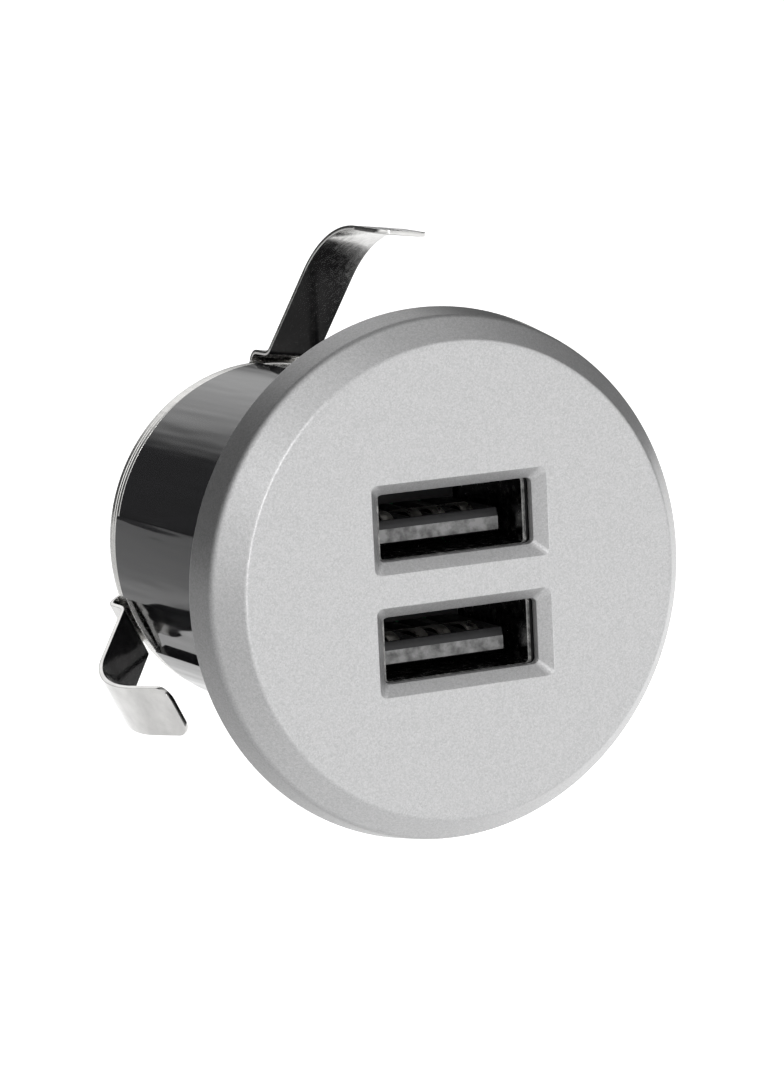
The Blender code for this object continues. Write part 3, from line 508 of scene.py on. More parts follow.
class Finish:
    """A Principled material under construction, with its pattern nodes."""

    def __init__(self, name, colour, roughness, metallic=0.0):
        self.material = bpy.data.materials.new(name)
        self.material.use_nodes = True
        self.material.diffuse_color = (*colour, 1.0)
        self.tree = self.material.node_tree
        self.shader = self.tree.nodes["Principled BSDF"]
        self.set({"Base Color": (*colour, 1.0), "Roughness": roughness,
                  "Metallic": metallic})
        self.coordinates = self.node("TexCoord").outputs["Object"]

    def set(self, sockets):
        """Sets the shader's own sockets by name."""
        for name, value in sockets.items():
            self.shader.inputs[name].default_value = value

    def link(self, source, target):
        self.tree.links.new(source, self.shader.inputs[target])

    def node(self, kind, *sources, **values):
        return add_node(self.tree, kind, sources, **values)

    def noise(self, scale, detail=3.0, roughness=0.5, stretch=None):
        """Cloudy noise, drawn out by a scale for each axis where stretch is given."""
        vector = self.coordinates
        if stretch:
            vector = self.node("Mapping", ("Vector", vector), Scale=stretch).outputs["Vector"]
        return self.node("TexNoise", ("Vector", vector), Scale=scale, Detail=detail,
                         Roughness=roughness).outputs["Fac"]

    def cells(self, scale, output="Color", metric="EUCLIDEAN"):
        """Cells, each with its own tone or with the distance from its middle."""
        node = self.node("TexVoronoi", ("Vector", self.coordinates), Scale=scale)
        node.distance = metric
        return node.outputs[output]

    def spread(self, value, low, high, from_low=0.0, from_high=1.0):
        """Maps a value's range onto low to high."""
        return self.node("MapRange", ("Value", value), From_Min=from_low, To_Min=low,
                         From_Max=from_high, To_Max=high).outputs["Result"]

    def blend(self, value, dark, light):
        """Goes from a dark to a light colour as a value goes from 0 to 1."""
        node = self.node("Mix")
        node.data_type = "RGBA"
        ends = {"A": (*dark, 1.0), "B": (*light, 1.0)}
        for socket in node.inputs:
            if socket.type == "RGBA":
                socket.default_value = ends[socket.name]
        self.tree.links.new(value, node.inputs["Factor"])
        return next(socket for socket in node.outputs if socket.type == "RGBA")

    def relief(self, height, strength, depth, under=None):
        """Fine relief of a depth, on top of the relief under it."""
        sources = [("Height", height)] + ([("Normal", under)] if under else [])
        node = self.node("Bump", *sources, Strength=strength, Distance=depth)
        self.link(node.outputs["Normal"], "Normal")
        return node.outputs["Normal"]


def shade(colour, factor):
    """A colour made darker or lighter by a factor."""
    return tuple(min(1.0, part * factor) for part in colour)


# Finishes made of noise. A row holds: the colour, or the setting that holds it; roughness;
# metallic; patterns, each with what noise() takes; the tone's pattern with a dark and a light
# colour, or shares of the row's own; the gloss's pattern with two roughnesses; bumps, each a
# pattern, a strength and a depth in millimetres; and further sockets. A tone or a gloss may
# end with the part of its pattern's range to use.
PATTERNED = {
    # Moulded black plastic with faint flow waves and fine rubs along the axis
    "black_gloss": ("charger_housing.gloss", 0.1, 0.0, {"rubs": (900.0, 5.0, 0.65, (1.0, 0.06,
        1.0)), "flow": (420.0, 2.0, 0.5, (1.0, 0.1, 1.0))}, ("rubs", 0.8, 1.5), ("rubs", 0.05,
        0.17, 0.4, 0.7), [("flow", 0.3, 0.5), ("rubs", 0.04, 0.03)], {}),
    # Polished strip with rolling lines along its length
    "spring_steel": ("charger_clip.steel", 0.13, 1.0, {"lines": (2600.0, 4.0, 0.6, (1.0, 0.05,
        1.0)), "smear": (380.0, 4.0, 0.6)}, ("smear", 0.87, 1.07, 0.35, 0.65), ("lines", 0.1,
        0.24, 0.35, 0.7), [("smear", 0.12, 0.1), ("lines", 0.05, 0.02)], {}),
    # Cut edge of the strip, dull and mottled
    "sheared_steel": ("charger_clip.sheared", 0.5, 0.5, {"grain": (3800.0, 4.0, 0.7)}, ("grain",
        0.6, 1.35, 0.35, 0.65), ("grain", 0.3, 0.6), [("grain", 0.4, 0.03)], {}),
    # Nickel-plated sheet with a faint drawn grain
    "nickel_plate": ("charger_port.nickel", 0.24, 1.0, {"grain": (3000.0, 5.0, 0.6, (1.0, 0.08,
        1.0)), "cloud": (350.0,)}, ("cloud", 0.88, 1.06), ("grain", 0.16, 0.34), [("grain", 0.06,
        0.02)], {}),
    # Receptacle steel made far darker than the nickel, as painted shade for the inside of a
    # port; smooth, with scuffs where plugs slide
    "port_steel": ((0.2, 0.2, 0.2), 0.16, 1.0, {"scuff": (1400.0, 4.0, 0.6)}, ("scuff", (0.1,
        0.1, 0.1), (0.3, 0.298, 0.29), 0.4, 0.7), ("scuff", 0.1, 0.34, 0.35, 0.7), [("scuff",
        0.08, 0.03)], {}),
    # Dark glass-filled plastic inside the ports
    "port_plastic": ("charger_port.plastic", 0.38, 0.0, {"grain": (2200.0, 4.0, 0.6)}, ("grain",
        0.7, 1.5), ("grain", 0.28, 0.5), [("grain", 0.15, 0.03)], {"Specular IOR Level": 0.25}),
    # Lighter grey copy of the port plastic for faces that face the opening, the tongue's nose
    # and the slots' back walls: painted light
    "tongue_nose": ((0.2, 0.2, 0.2), 0.55, 0.0, {"cloud": (900.0, 4.0, 0.6), "grain": (4500.0,)},
        ("cloud", (0.08, 0.08, 0.08), (0.26, 0.26, 0.26), 0.38, 0.62), ("grain", 0.45, 0.65),
        [("grain", 0.3, 0.04)], {}),
    # Bright tin, worn in lines where the plug slides
    "contact_plating": ("charger_port.plating", 0.3, 1.0, {"wear": (1500.0, 4.0, 0.6, (1.0, 0.2,
        1.0))}, ("wear", 0.85, 1.08), ("wear", 0.24, 0.44), [("wear", 0.06, 0.02)], {}),
    # Black rubber with fine pores and a little dust
    "gland_rubber": ((0.02, 0.02, 0.021), 0.62, 0.0, {"pores": (3200.0, 5.0, 0.65), "dust":
        (500.0,)}, ("dust", (0.014, 0.014, 0.015), (0.035, 0.035, 0.036)), ("pores", 0.5, 0.75),
        [("pores", 0.25, 0.05)], {"Sheen Weight": 0.08}),
    # Pressed grey-black core with an open grain
    "ferrite": ((0.06, 0.06, 0.063), 0.6, 0.0, {"grain": (3600.0, 5.0, 0.7)}, ("grain", (0.035,
        0.035, 0.037), (0.11, 0.11, 0.115)), ("grain", 0.45, 0.75), [("grain", 0.3, 0.05)], {}),
    # Yellow polyester tape with the edges of its turns
    "winding_tape": ((0.72, 0.5, 0.06), 0.32, 0.0, {"turns": (900.0, 1.0, 0.4, (0.05, 0.05,
        1.0)), "crease": (700.0, 4.0)}, ("turns", (0.6, 0.4, 0.045), (0.8, 0.58, 0.09)),
        ("crease", 0.22, 0.45), [("turns", 0.25, 0.1)], {"Coat Weight": 0.35, "Coat Roughness":
        0.15}),
    # Shrunk plastic sleeve, drawn tight along the can
    "capacitor_sleeve": ((0.04, 0.06, 0.15), 0.3, 0.0, {"shrink": (800.0, 3.0, 0.5, (1.0, 0.15,
        1.0))}, ("shrink", (0.03, 0.045, 0.12), (0.055, 0.08, 0.19)), ("shrink", 0.22, 0.4),
        [("shrink", 0.12, 0.06)], {"Coat Weight": 0.4, "Coat Roughness": 0.12}),
    # Moulded epoxy of chips and diodes
    "component_black": ((0.035, 0.035, 0.036), 0.5, 0.0, {"grain": (4000.0, 4.0, 0.65)},
        ("grain", (0.025, 0.025, 0.026), (0.055, 0.055, 0.057)), ("grain", 0.42, 0.62),
        [("grain", 0.2, 0.03)], {}),
    # Dipped blue coat of a safety capacitor
    "disc_blue": ((0.07, 0.18, 0.46), 0.3, 0.0, {"runs": (600.0,)}, ("runs", (0.05, 0.14, 0.38),
        (0.09, 0.23, 0.55)), ("runs", 0.22, 0.42), [("runs", 0.3, 0.1)], {"Coat Weight": 0.3,
        "Coat Roughness": 0.2}),
    # Green nylon of the terminal block
    "terminal_green": ((0.04, 0.3, 0.13), 0.42, 0.0, {"grain": (1800.0, 4.0, 0.6)}, ("grain",
        (0.03, 0.25, 0.1), (0.055, 0.36, 0.16)), ("grain", 0.35, 0.55), [("grain", 0.15, 0.04)],
        {}),
}


def patterned(name):
    """Makes the finish of a row of PATTERNED."""
    colour, roughness, metallic, patterns, tone, gloss, bumps, sockets = PATTERNED[name]
    if isinstance(colour, str):
        group, setting = colour.split(".")
        colour = getattr(getattr(bpy.context.scene, group), setting)
    made = Finish(name, colour, roughness, metallic)
    maps = {key: made.noise(*noise) for key, noise in patterns.items()}
    key, *ends = tone[:3]
    dark, light = (end if isinstance(end, tuple) else shade(colour, end) for end in ends)
    value = made.spread(maps[key], 0.0, 1.0, *tone[3:]) if tone[3:] else maps[key]
    made.link(made.blend(value, dark, light), "Base Color")
    key, low, high = gloss[:3]
    made.link(made.spread(maps[key], low, high, *(gloss[3:] or (0.35, 0.65))), "Roughness")
    under = None
    for key, strength, depth in bumps:
        under = made.relief(maps[key], strength, depth * MM, under)
    made.set(sockets)
    return made.material


def silver_paint():
    """Aluminium-flake paint: bright and dull flakes under a satin skin, and painted shade that
    darkens the rim behind the bevel.
    """
    sizes = bpy.context.scene.charger_plate
    paint = Finish("silver_paint", sizes.paint, 0.4, 0.8)
    flake = paint.cells(9500.0)
    speck = paint.noise(6500.0, 2.0, 0.6)
    mottle = paint.noise(1100.0, 2.0)
    half = sizes.flake * 0.5
    tone = paint.blend(flake, shade(sizes.paint, 1.0 - half), shade(sizes.paint, 1.0 + half))
    axes = paint.node("SeparateXYZ", ("Vector", paint.coordinates))
    # Painted shade: behind the bevel's end the paint colour is scaled down by rim_tone, standing
    # in for the darker light on the rim
    bevel_end = PLATE_LOW.y + sizes.bevel_depth
    fade = 0.35 * MM
    rim_shade_share = paint.spread(axes.outputs["Y"], 1.0, sizes.rim_tone, bevel_end - fade,
                         bevel_end + fade)
    rim_shaded_tone = paint.node("VectorMath", (0, tone), ("Scale", rim_shade_share), operation="SCALE")
    paint.link(rim_shaded_tone.outputs["Vector"], "Base Color")
    paint.link(paint.spread(speck, 0.33, 0.46, 0.35, 0.65), "Roughness")
    skin = paint.relief(speck, 0.16, 0.02 * MM)
    paint.relief(mottle, 0.04, 0.03 * MM, skin)
    paint.set({"Coat Weight": 0.25, "Coat Roughness": 0.16})
    return paint.material


def board_green():
    """Solder mask over faint copper tracks."""
    board = Finish("board_green", (0.02, 0.13, 0.055), 0.36)
    tracks = board.cells(520.0, "Distance", "CHEBYCHEV")
    weave = board.noise(2600.0)
    board.link(board.blend(board.spread(tracks, 0.0, 1.0, 0.30, 0.36),
                           (0.012, 0.085, 0.036), (0.03, 0.19, 0.08)), "Base Color")
    board.link(board.spread(weave, 0.28, 0.45, 0.35, 0.65), "Roughness")
    board.relief(weave, 0.1, 0.04 * MM)
    board.set({"Coat Weight": 0.3, "Coat Roughness": 0.2})
    return board.material


def floor_paper():
    """Pale paper with a painted glow: emission that stands in for light on the floor, fading to
    the left and dimmed under the charger as a painted shadow.
    """
    stage = bpy.context.scene.charger_stage
    tone = tuple(stage.floor_colour)
    paper = Finish("floor_paper", tone, 0.85)
    paper.link(paper.blend(paper.noise(60.0), shade(tone, 0.985), shade(tone, 1.01)),
               "Base Color")
    # Painted shadow: the glow is dimmed in an oval round the place under the charger
    oval = paper.node("Mapping", ("Vector", paper.coordinates), Scale=(0.4, 1.0, 1.0),
                      Location=(88 * MM, 10 * MM, stage.floor_drop))
    away = paper.node("VectorMath", (0, oval.outputs["Vector"]), operation="LENGTH")
    near = paper.spread(away.outputs["Value"], stage.floor_shade, 1.0, 40 * MM, 120 * MM)
    # Painted falloff: the glow fades towards the left along PAINTED_GLOW_RIGHT
    across = paper.node("VectorMath", (0, paper.coordinates), operation="DOT_PRODUCT")
    across.inputs[1].default_value = PAINTED_GLOW_RIGHT
    left = paper.spread(across.outputs["Value"], stage.floor_shade, stage.floor_glow,
                        -190 * MM, -40 * MM)
    glow = paper.node("Math", (0, near), (1, left), operation="MULTIPLY")
    paper.set({"Emission Color": (1.0, 1.0, 1.0, 1.0)})
    paper.link(glow.outputs["Value"], "Emission Strength")
    return paper.material


@cache
def finish(name):
    """The finish of a name, made the first time that it is asked for."""
    special = {"silver_paint": silver_paint, "board_green": board_green,
               "floor_paper": floor_paper}
    return special[name]() if name in special else patterned(name)


# Frame slots whose finish has another name
SLOT_FINISHES = {"plated_steel": "nickel_plate", "rubber": "gland_rubber",
                 "circuit_board": "board_green"}


# Pieces

def drill(piece, y, reach, clocks=SCREW_CLOCKS):
    """Cuts the clip screws' holes, each a reach long from y."""
    radius = bpy.context.scene.charger_housing.screw_radius
    for clock in clocks:
        hole = round_bar("hole_tool", clock_place(clock, radius, y), SCREW_HOLE, reach)
        combine(piece, hole, "DIFFERENCE")


def ring_middle():
    """Where the middle of the clip's sheet lies behind the cap."""
    return (HUB_HIGH.y + CAP_HIGH.y + CLIP_GAP) / 2


def fill_ports(pattern, name, node, body=None):
    """Copies a pattern piece to the four places in both ports and removes it."""
    for port, drop in (("upper", 0.0), ("lower", PORT_DROP)):
        for index, x in enumerate(CONTACT_CENTRES, 1):
            ending = "_%s_%d" % (port, index)
            made = copy_piece(pattern, name + ending, (x, 0.0, drop))
            finish_piece(made, ["contact_plating"] * 2,
                         body or "contacts_" + port, [node + ending], 30.0)
    bpy.data.objects.remove(pattern, do_unlink=True)


class CHARGER_OT_front_plate(bpy.types.Operator):
    """Turn the front plate, cut both port windows and paint it silver"""

    bl_idname = "charger.front_plate"
    bl_label = "Front plate"

    def execute(self, context):
        sizes = context.scene.charger_plate
        front = PLATE_LOW.y
        radius = PLATE_HIGH.x
        rim_front = radius - sizes.rim_draft
        back = front + sizes.wall
        inward = 1.2 * MM  # how far the outline runs in before a flat disc closes it
        outline = round_corners([
            (rim_front - sizes.bevel_width - inward, front),
            (rim_front - sizes.bevel_width, front, sizes.face_soft),
            (rim_front, front + sizes.bevel_depth, sizes.rim_soft),
            (radius, PLATE_HIGH.y, 0.2 * MM),
            (sizes.lip_radius, PLATE_HIGH.y, 0.1 * MM),
            (sizes.lip_radius, -sizes.lip_depth),
            (sizes.cup_radius, -sizes.lip_depth),
            (sizes.cup_radius, back),
            (sizes.cup_radius - inward, back),
        ], 5, closed=False)
        plate = turned("front_plate", outline, context.scene.charger_stage.facets,
                       closed=False)
        over = 1.0 * MM
        slope = sizes.window_chamfer / sizes.window_chamfer_depth
        spread = 2 * slope * (sizes.window_chamfer_depth + over)
        for level in (PORT_LEVEL, PORT_LEVEL + PORT_DROP):
            tool = slab("window_tool", (0.0, front - over, level),
                        sizes.window_width + spread, sizes.window_height + spread,
                        sizes.window_corner * 2.2, [
                            (over + sizes.window_chamfer_depth, sizes.window_width,
                             sizes.window_height, 0.0),
                            (sizes.wall, sizes.window_width, sizes.window_height, 0.0)])
            combine(plate, tool, "DIFFERENCE")
        soften(plate, sizes.window_soft, 3, 36.0)
        finish_piece(plate, ["silver_paint"], "root", ["face_plate"])
        return {"FINISHED"}


class CHARGER_OT_housing(bpy.types.Operator):
    """Turn the black body, raise its lands, cut its channels and add its screw bosses"""

    bl_idname = "charger.housing"
    bl_label = "Housing"

    def execute(self, context):
        sizes = context.scene.charger_housing
        facets = context.scene.charger_stage.facets
        front, rear = BODY_LOW.y, BODY_HIGH.y
        collar_back = front + sizes.collar_depth
        bore = sizes.radius - sizes.wall
        mould_round = 0.15 * MM
        body = turned("housing_body", round_corners([
            (bore, front, mould_round),
            (sizes.collar_radius, front, mould_round),
            (sizes.collar_radius, collar_back, mould_round),
            (sizes.radius, collar_back),
            (sizes.radius, rear, 0.2 * MM),
            (bore, rear, mould_round),
        ]), facets)
        inner = sizes.radius - 0.5 * MM
        outer = sizes.radius + sizes.land_rise
        land_front, land_back = collar_back + 0.3 * MM, rear - 0.3 * MM
        land_sweep, land_middle = 27.0, 24.5  # degrees, the second clockwise of the leg
        boss_radius, boss_depth, boss_foot = 2.1 * MM, 5.8 * MM, rear - 6.0 * MM
        over = 1.0 * MM
        for clock, _ in LEGS.values():
            land = turned("land_tool", [
                (inner, land_front), (outer, land_front), (outer, land_back),
                (inner, land_back)], 24, sweep=land_sweep)
            middle = sum((corner.co for corner in land.data.vertices), Vector())
            now = math.degrees(math.atan2(middle.x, middle.z))
            combine(body, turn_clock(land, clock + land_middle - now), "UNION")
            half = sizes.channel_width / 2
            channel = box("channel_tool",
                          (-half, sizes.channel_start, sizes.radius - sizes.channel_depth),
                          (half, rear + over, sizes.radius + over))
            combine(body, turn_clock(channel, clock), "DIFFERENCE")
        for clock in SCREW_CLOCKS:
            place = clock_place(clock, sizes.screw_radius, boss_foot)
            combine(body, round_bar("boss_tool", place, boss_radius, boss_depth), "UNION")
            drill(body, boss_foot - over, rear + over - boss_foot + over, [clock])
        soften(body, sizes.edge, 2, 40.0)
        tidy_mesh(body, 0.012 * MM)
        finish_piece(body, ["black_gloss"], "root", ["body_shell"])
        return {"FINISHED"}


class CHARGER_OT_rear_cap(bpy.types.Operator):
    """Turn the plated rear cap with its bead and side grooves, and drill it"""

    bl_idname = "charger.rear_cap"
    bl_label = "Rear cap"

    def execute(self, context):
        front, back = CAP_LOW.y, CAP_HIGH.y
        radius = CAP_HIGH.z
        sheet = 0.5 * MM
        centre_hole = 4.5 * MM
        groove = 0.07 * MM
        side = [(radius, front, 0.08 * MM)]
        for y in (front + 0.45 * MM, front + 0.85 * MM):
            side += [(radius, y - groove), (radius - groove, y), (radius, y + groove)]
        bead, bead_height = radius - 1.0 * MM, 0.12 * MM
        cap = turned("rear_cover", round_corners([
            (centre_hole, back - sheet),
            (radius - sheet, back - sheet),
            (radius - sheet, front, 0.08 * MM),
            *side,
            (radius, back, 0.3 * MM),
            (bead + 0.35 * MM, back, 0.1 * MM),
            (bead + 0.1 * MM, back + bead_height, 0.08 * MM),
            (bead - 0.1 * MM, back + bead_height, 0.08 * MM),
            (bead - 0.35 * MM, back, 0.1 * MM),
            (centre_hole, back, 0.08 * MM),
        ]), context.scene.charger_stage.facets)
        drill(cap, front, 3.0 * MM)
        finish_piece(cap, ["nickel_plate"], "root", ["rear_cap"])
        return {"FINISHED"}


class CHARGER_OT_clip_ring(bpy.types.Operator):
    """Turn the spring clip's ring, add its three arms and punch its screw holes"""

    bl_idname = "charger.clip_ring"
    bl_label = "Clip ring"

    def execute(self, context):
        sizes = context.scene.charger_clip
        middle = ring_middle()
        low, high = middle - sizes.thickness / 2, middle + sizes.thickness / 2
        ring = turned("clip_ring", [(sizes.bore, low), (sizes.rim, low), (sizes.rim, high),
                                    (sizes.bore, high)], 128)
        half = sizes.width / 2
        for clock, _ in LEGS.values():
            arm = box("arm_tool", (-half, low, sizes.rim - 1.5 * MM),
                      (half, high, sizes.knee_height - sizes.knee_bend))
            combine(ring, turn_clock(arm, clock), "UNION")
        drill(ring, low - 1.0 * MM, 3.0 * MM)
        soften(ring, sizes.edge, 2, 50.0)
        finish_piece(ring, ["spring_steel"], "root", ["spring_hub"])
        return {"FINISHED"}


def leg_path(sizes, middle, heading):
    """The strip's middle line from the ring's arm, over the knee and out to the pad."""
    hinge = (LEG_HINGE_Y, sizes.knee_height)
    path = [(middle, sizes.knee_height - sizes.knee_bend)]
    path += arc_path(path[0], 90.0, -90.0, sizes.knee_bend, 10)
    reach = onward(hinge, heading, sizes.straight)
    bend = round_corners([path[-1], (hinge[0], hinge[1], sizes.leg_bend), reach], 10,
                         closed=False)
    path += bend[1:]
    turn = math.degrees(sizes.elbow_turn)
    path += arc_path(path[-1], heading, -turn, sizes.elbow, 24)
    path.append(onward(path[-1], heading - turn, sizes.pad))
    return path


class CHARGER_OT_clip_legs(bpy.types.Operator):
    """Bend the three spring legs, each one strip from the ring over its knee to its pad"""

    bl_idname = "charger.clip_legs"
    bl_label = "Clip legs"

    def execute(self, context):
        sizes = context.scene.charger_clip
        for name, (clock, heading) in LEGS.items():
            path = leg_path(sizes, ring_middle(), heading)
            leg = strip("clip_" + name, sizes.width, path, sizes.thickness,
                        sizes.pad_corner, sizes.edge)
            turn_clock(leg, clock)
            finish_piece(leg, ["spring_steel", "sheared_steel"],
                         nodes=[name], smooth=30.0)
            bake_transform(leg)
        return {"FINISHED"}


class CHARGER_OT_hub_screws(bpy.types.Operator):
    """Turn one cross-head screw and copy it to the clip's three holes"""

    bl_idname = "charger.hub_screws"
    bl_label = "Clip screws"

    def execute(self, context):
        low, high = (corner.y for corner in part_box("hub_screw_1"))
        head = high - 1.1 * MM
        shank, core, head_radius = 0.9 * MM, 0.72 * MM, 1.8 * MM
        outline = [(0.0, low), (shank * 0.5, low + 0.35 * MM)]
        y, pitch = low + 0.6 * MM, 0.4 * MM
        while y < head - 0.9 * MM:
            outline += [(core, y), (shank, y + pitch / 2), (core, y + pitch)]
            y += pitch
        edge, dome, steps = head + 0.3 * MM, 0.8 * MM, 8
        outline += [(shank, head - 0.4 * MM), (shank, head), (head_radius, head),
                    (head_radius, edge)]
        for step in range(1, steps + 1):
            turn = math.radians(90.0 * step / steps)
            outline.append((head_radius * math.cos(turn), edge + dome * math.sin(turn)))
        screw = turned("clip_screw_1", outline[:-1] + [(0.0, high)], 40)
        for wide, tall in ((2.0, 0.5), (0.5, 2.0)):
            tool = slab("cross_tool", (0.0, high + 0.5 * MM, 0.0), wide * MM, tall * MM,
                        0.08 * MM, [(-1.15 * MM, wide * 0.62 * MM, tall * 0.7 * MM, 0.0)])
            combine(screw, tool, "DIFFERENCE")
        soften(screw, 0.03 * MM, 2, 40.0)
        radius = context.scene.charger_housing.screw_radius
        turn_apart = math.radians(31.0)
        screws = [screw] + [copy_piece(screw, "clip_screw_%d" % index) for index in (2, 3)]
        for index, (made, clock) in enumerate(zip(screws, SCREW_CLOCKS), 1):
            made.rotation_euler = (0.0, turn_apart * index, 0.0)
            made.location = clock_place(clock, radius)
            finish_piece(made, ["nickel_plate"], "root",
                         ["hub_screw_%d" % index])
        return {"FINISHED"}


class CHARGER_OT_cable_gland(bpy.types.Operator):
    """Turn the rubber inlet for the supply cord, with ribs on its nose"""

    bl_idname = "charger.cable_gland"
    bl_label = "Cable gland"

    def execute(self, context):
        node_low, node_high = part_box("cable_grommet")
        low, high, flange = node_low.y, node_high.y, node_high.x
        bore, neck, nose = 3.0 * MM, 4.2 * MM, 3.9 * MM
        outer = CAP_HIGH.y + 0.3 * MM
        inner = CAP_HIGH.y - 0.8 * MM
        flange_back = outer + 1.4 * MM
        ribs = []
        y = flange_back + 0.5 * MM
        for _ in range(3):
            ribs += [(nose, y), (nose - 0.25 * MM, y + 0.15 * MM),
                     (nose - 0.25 * MM, y + 0.35 * MM), (nose, y + 0.5 * MM)]
            y += 0.68 * MM
        gland = turned("cord_gland", round_corners([
            (bore, low, 0.2 * MM), (neck, low, 0.2 * MM), (flange - 0.4 * MM, inner, 0.1 * MM),
            (neck, inner), (neck, outer), (flange, outer, 0.1 * MM),
            (flange, flange_back, 0.4 * MM), (nose, flange_back, 0.25 * MM), *ribs,
            (nose - 0.1 * MM, high, 0.25 * MM), (bore, high, 0.25 * MM),
        ]), 96)
        finish_piece(gland, ["gland_rubber"], "root", ["cable_grommet"])
        return {"FINISHED"}


class CHARGER_OT_port_shells(bpy.types.Operator):
    """Form one receptacle shell with its retaining springs and copy it to the lower port"""

    bl_idname = "charger.port_shells"
    bl_label = "Port shells"

    def execute(self, context):
        sizes = context.scene.charger_port
        front, back = SHELL_LOW.y - 0.2 * MM, SHELL_HIGH.y
        depth = back - front
        width, height = SHELL_HIGH.x - SHELL_LOW.x, SHELL_HIGH.z - SHELL_LOW.z
        shell = slab("port_shell_upper", (0.0, front, PORT_LEVEL), width, height,
                     sizes.corner, [(depth, width, height, 0.0)], 6)
        sheet = sizes.sheet
        inner = slab("bore_tool", (0.0, front - MM, PORT_LEVEL), width - 2 * sheet,
                     height - 2 * sheet, sizes.corner - sheet,
                     [(depth + 2 * MM, width - 2 * sheet, height - 2 * sheet, 0.0)], 6)
        combine(shell, inner, "DIFFERENCE")
        half = sizes.spring_width / 2
        window = half + 0.35 * MM
        spring_place = 3.2 * MM
        wall = height / 2 - sheet / 2
        for side in (1.0, -1.0):
            for x in (-spring_place, spring_place):
                low = sorted((PORT_LEVEL + side * (height / 2 - sheet - 0.1 * MM),
                              PORT_LEVEL + side * (height / 2 + 0.5 * MM)))
                combine(shell, box("slot_tool", (x - window, 0.4 * MM, low[0]),
                                   (x + window, 6.6 * MM, low[1])), "DIFFERENCE")
                path = round_corners([
                    (y * MM, PORT_LEVEL + side * (wall - sink * MM), 0.25 * MM)
                    for y, sink in PORT_SPRING], 4, closed=False)
                leaf = strip("leaf_tool", sizes.spring_width, path, sheet * 0.85)
                leaf.location.x = x
                combine(shell, set_in_place(leaf), "UNION")
        soften(shell, 0.05 * MM, 2, 50.0)
        lower = copy_piece(shell, "port_shell_lower", (0.0, 0.0, PORT_DROP))
        finish_piece(shell, ["port_steel"], "root", ["usb_shell_upper"])
        finish_piece(lower, ["port_steel"], "root", ["usb_shell_lower"])
        return {"FINISHED"}


class CHARGER_OT_port_tongues(bpy.types.Operator):
    """Mould one insulator, its tongue and grooves, and copy it to the lower port"""

    bl_idname = "charger.port_tongues"
    bl_label = "Port tongues"

    def execute(self, context):
        sizes = context.scene.charger_port
        node_low, node_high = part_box("usb_insulator_upper")
        width = node_high.x - node_low.x
        height = node_high.z - node_low.z
        block_depth = 2.4 * MM
        block_front = node_high.y - block_depth
        block = slab("port_tongue_upper", (0.0, block_front, PORT_LEVEL), width, height,
                     0.25 * MM, [(block_depth, width, height, 0.0)])
        inner_width = SHELL_HIGH.x - SHELL_LOW.x - 2 * sizes.sheet
        inner_height = SHELL_HIGH.z - SHELL_LOW.z - 2 * sizes.sheet
        bottom = PORT_LEVEL - inner_height / 2 + sizes.tongue_floor
        top = bottom + sizes.tongue_height
        tongue_width = inner_width - 2 * sizes.tongue_gap
        front = SHELL_LOW.y + sizes.tongue_recess
        nose_low, nose_high = bottom + 0.18 * MM, top - 0.6 * MM
        nose = (nose_low + nose_high) / 2
        chamfer = 0.45 * MM
        tongue = slab("tongue_tool", (0.0, front, nose), tongue_width - 0.3 * MM,
                      nose_high - nose_low, 0.06 * MM,
                      [(chamfer, tongue_width, sizes.tongue_height,
                        (bottom + top) / 2 - nose),
                       (block_front + MM - front - chamfer, tongue_width,
                        sizes.tongue_height, 0.0)])
        combine(block, tongue, "UNION")
        half = sizes.contact_width / 2 + 0.3 * MM
        slot_half, slot_foot, slot_back = 0.75 * MM, top + 0.75 * MM, block_front + 0.9 * MM
        for x in CONTACT_CENTRES:
            groove = box("groove_tool", (x - half, front + 0.8 * MM, top - 1.0 * MM),
                         (x + half, node_high.y + MM, top + 0.02 * MM))
            combine(block, groove, "DIFFERENCE")
            slot = box("slot_tool", (x - slot_half, block_front - MM, slot_foot),
                       (x + slot_half, slot_back, PORT_LEVEL + height / 2 - 0.35 * MM))
            combine(block, slot, "DIFFERENCE")
        soften(block, 0.04 * MM, 2, 40.0)
        for face in block.data.polygons:
            middle = face.center
            in_slot = abs(middle.y - slot_back) < 0.05 * MM and middle.z > slot_foot
            if in_slot or abs(middle.y - front) < 0.12 * MM:
                face.material_index = 1  # painted light: a lighter copy of the plastic on faces that face the opening
        lower = copy_piece(block, "port_tongue_lower", (0.0, 0.0, PORT_DROP))
        for piece, port in ((block, "upper"), (lower, "lower")):
            finish_piece(piece, ["port_plastic", "tongue_nose"], "root",
                         ["usb_insulator_" + port])
        return {"FINISHED"}


class CHARGER_OT_port_contacts(bpy.types.Operator):
    """Bend one contact spring and copy it to every groove of both ports"""

    bl_idname = "charger.port_contacts"
    bl_label = "Port contacts"

    def execute(self, context):
        sizes = context.scene.charger_port
        low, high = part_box("contact_upper_1")
        inner_height = SHELL_HIGH.z - SHELL_LOW.z - 2 * sizes.sheet
        top = PORT_LEVEL - inner_height / 2 + sizes.tongue_floor + sizes.tongue_height
        crest = top + sizes.contact_crest - sizes.contact_sheet / 2
        root = top - 0.6 * MM
        tip = low.y + 0.05 * MM
        path = round_corners([
            (high.y, root), (high.y - 1.6 * MM, root + 0.02 * MM, 0.5 * MM),
            (tip + 2.7 * MM, crest - 0.22 * MM, 0.4 * MM),
            (tip + 1.6 * MM, crest, 0.4 * MM), (tip + 0.8 * MM, crest - 0.12 * MM, 0.25 * MM),
            (tip, crest - 0.6 * MM),
        ], 6, closed=False)
        pattern = strip("contact_pattern", sizes.contact_width, path, sizes.contact_sheet,
                        0.2 * MM, 0.02 * MM)
        fill_ports(pattern, "contact_spring", "contact")
        return {"FINISHED"}


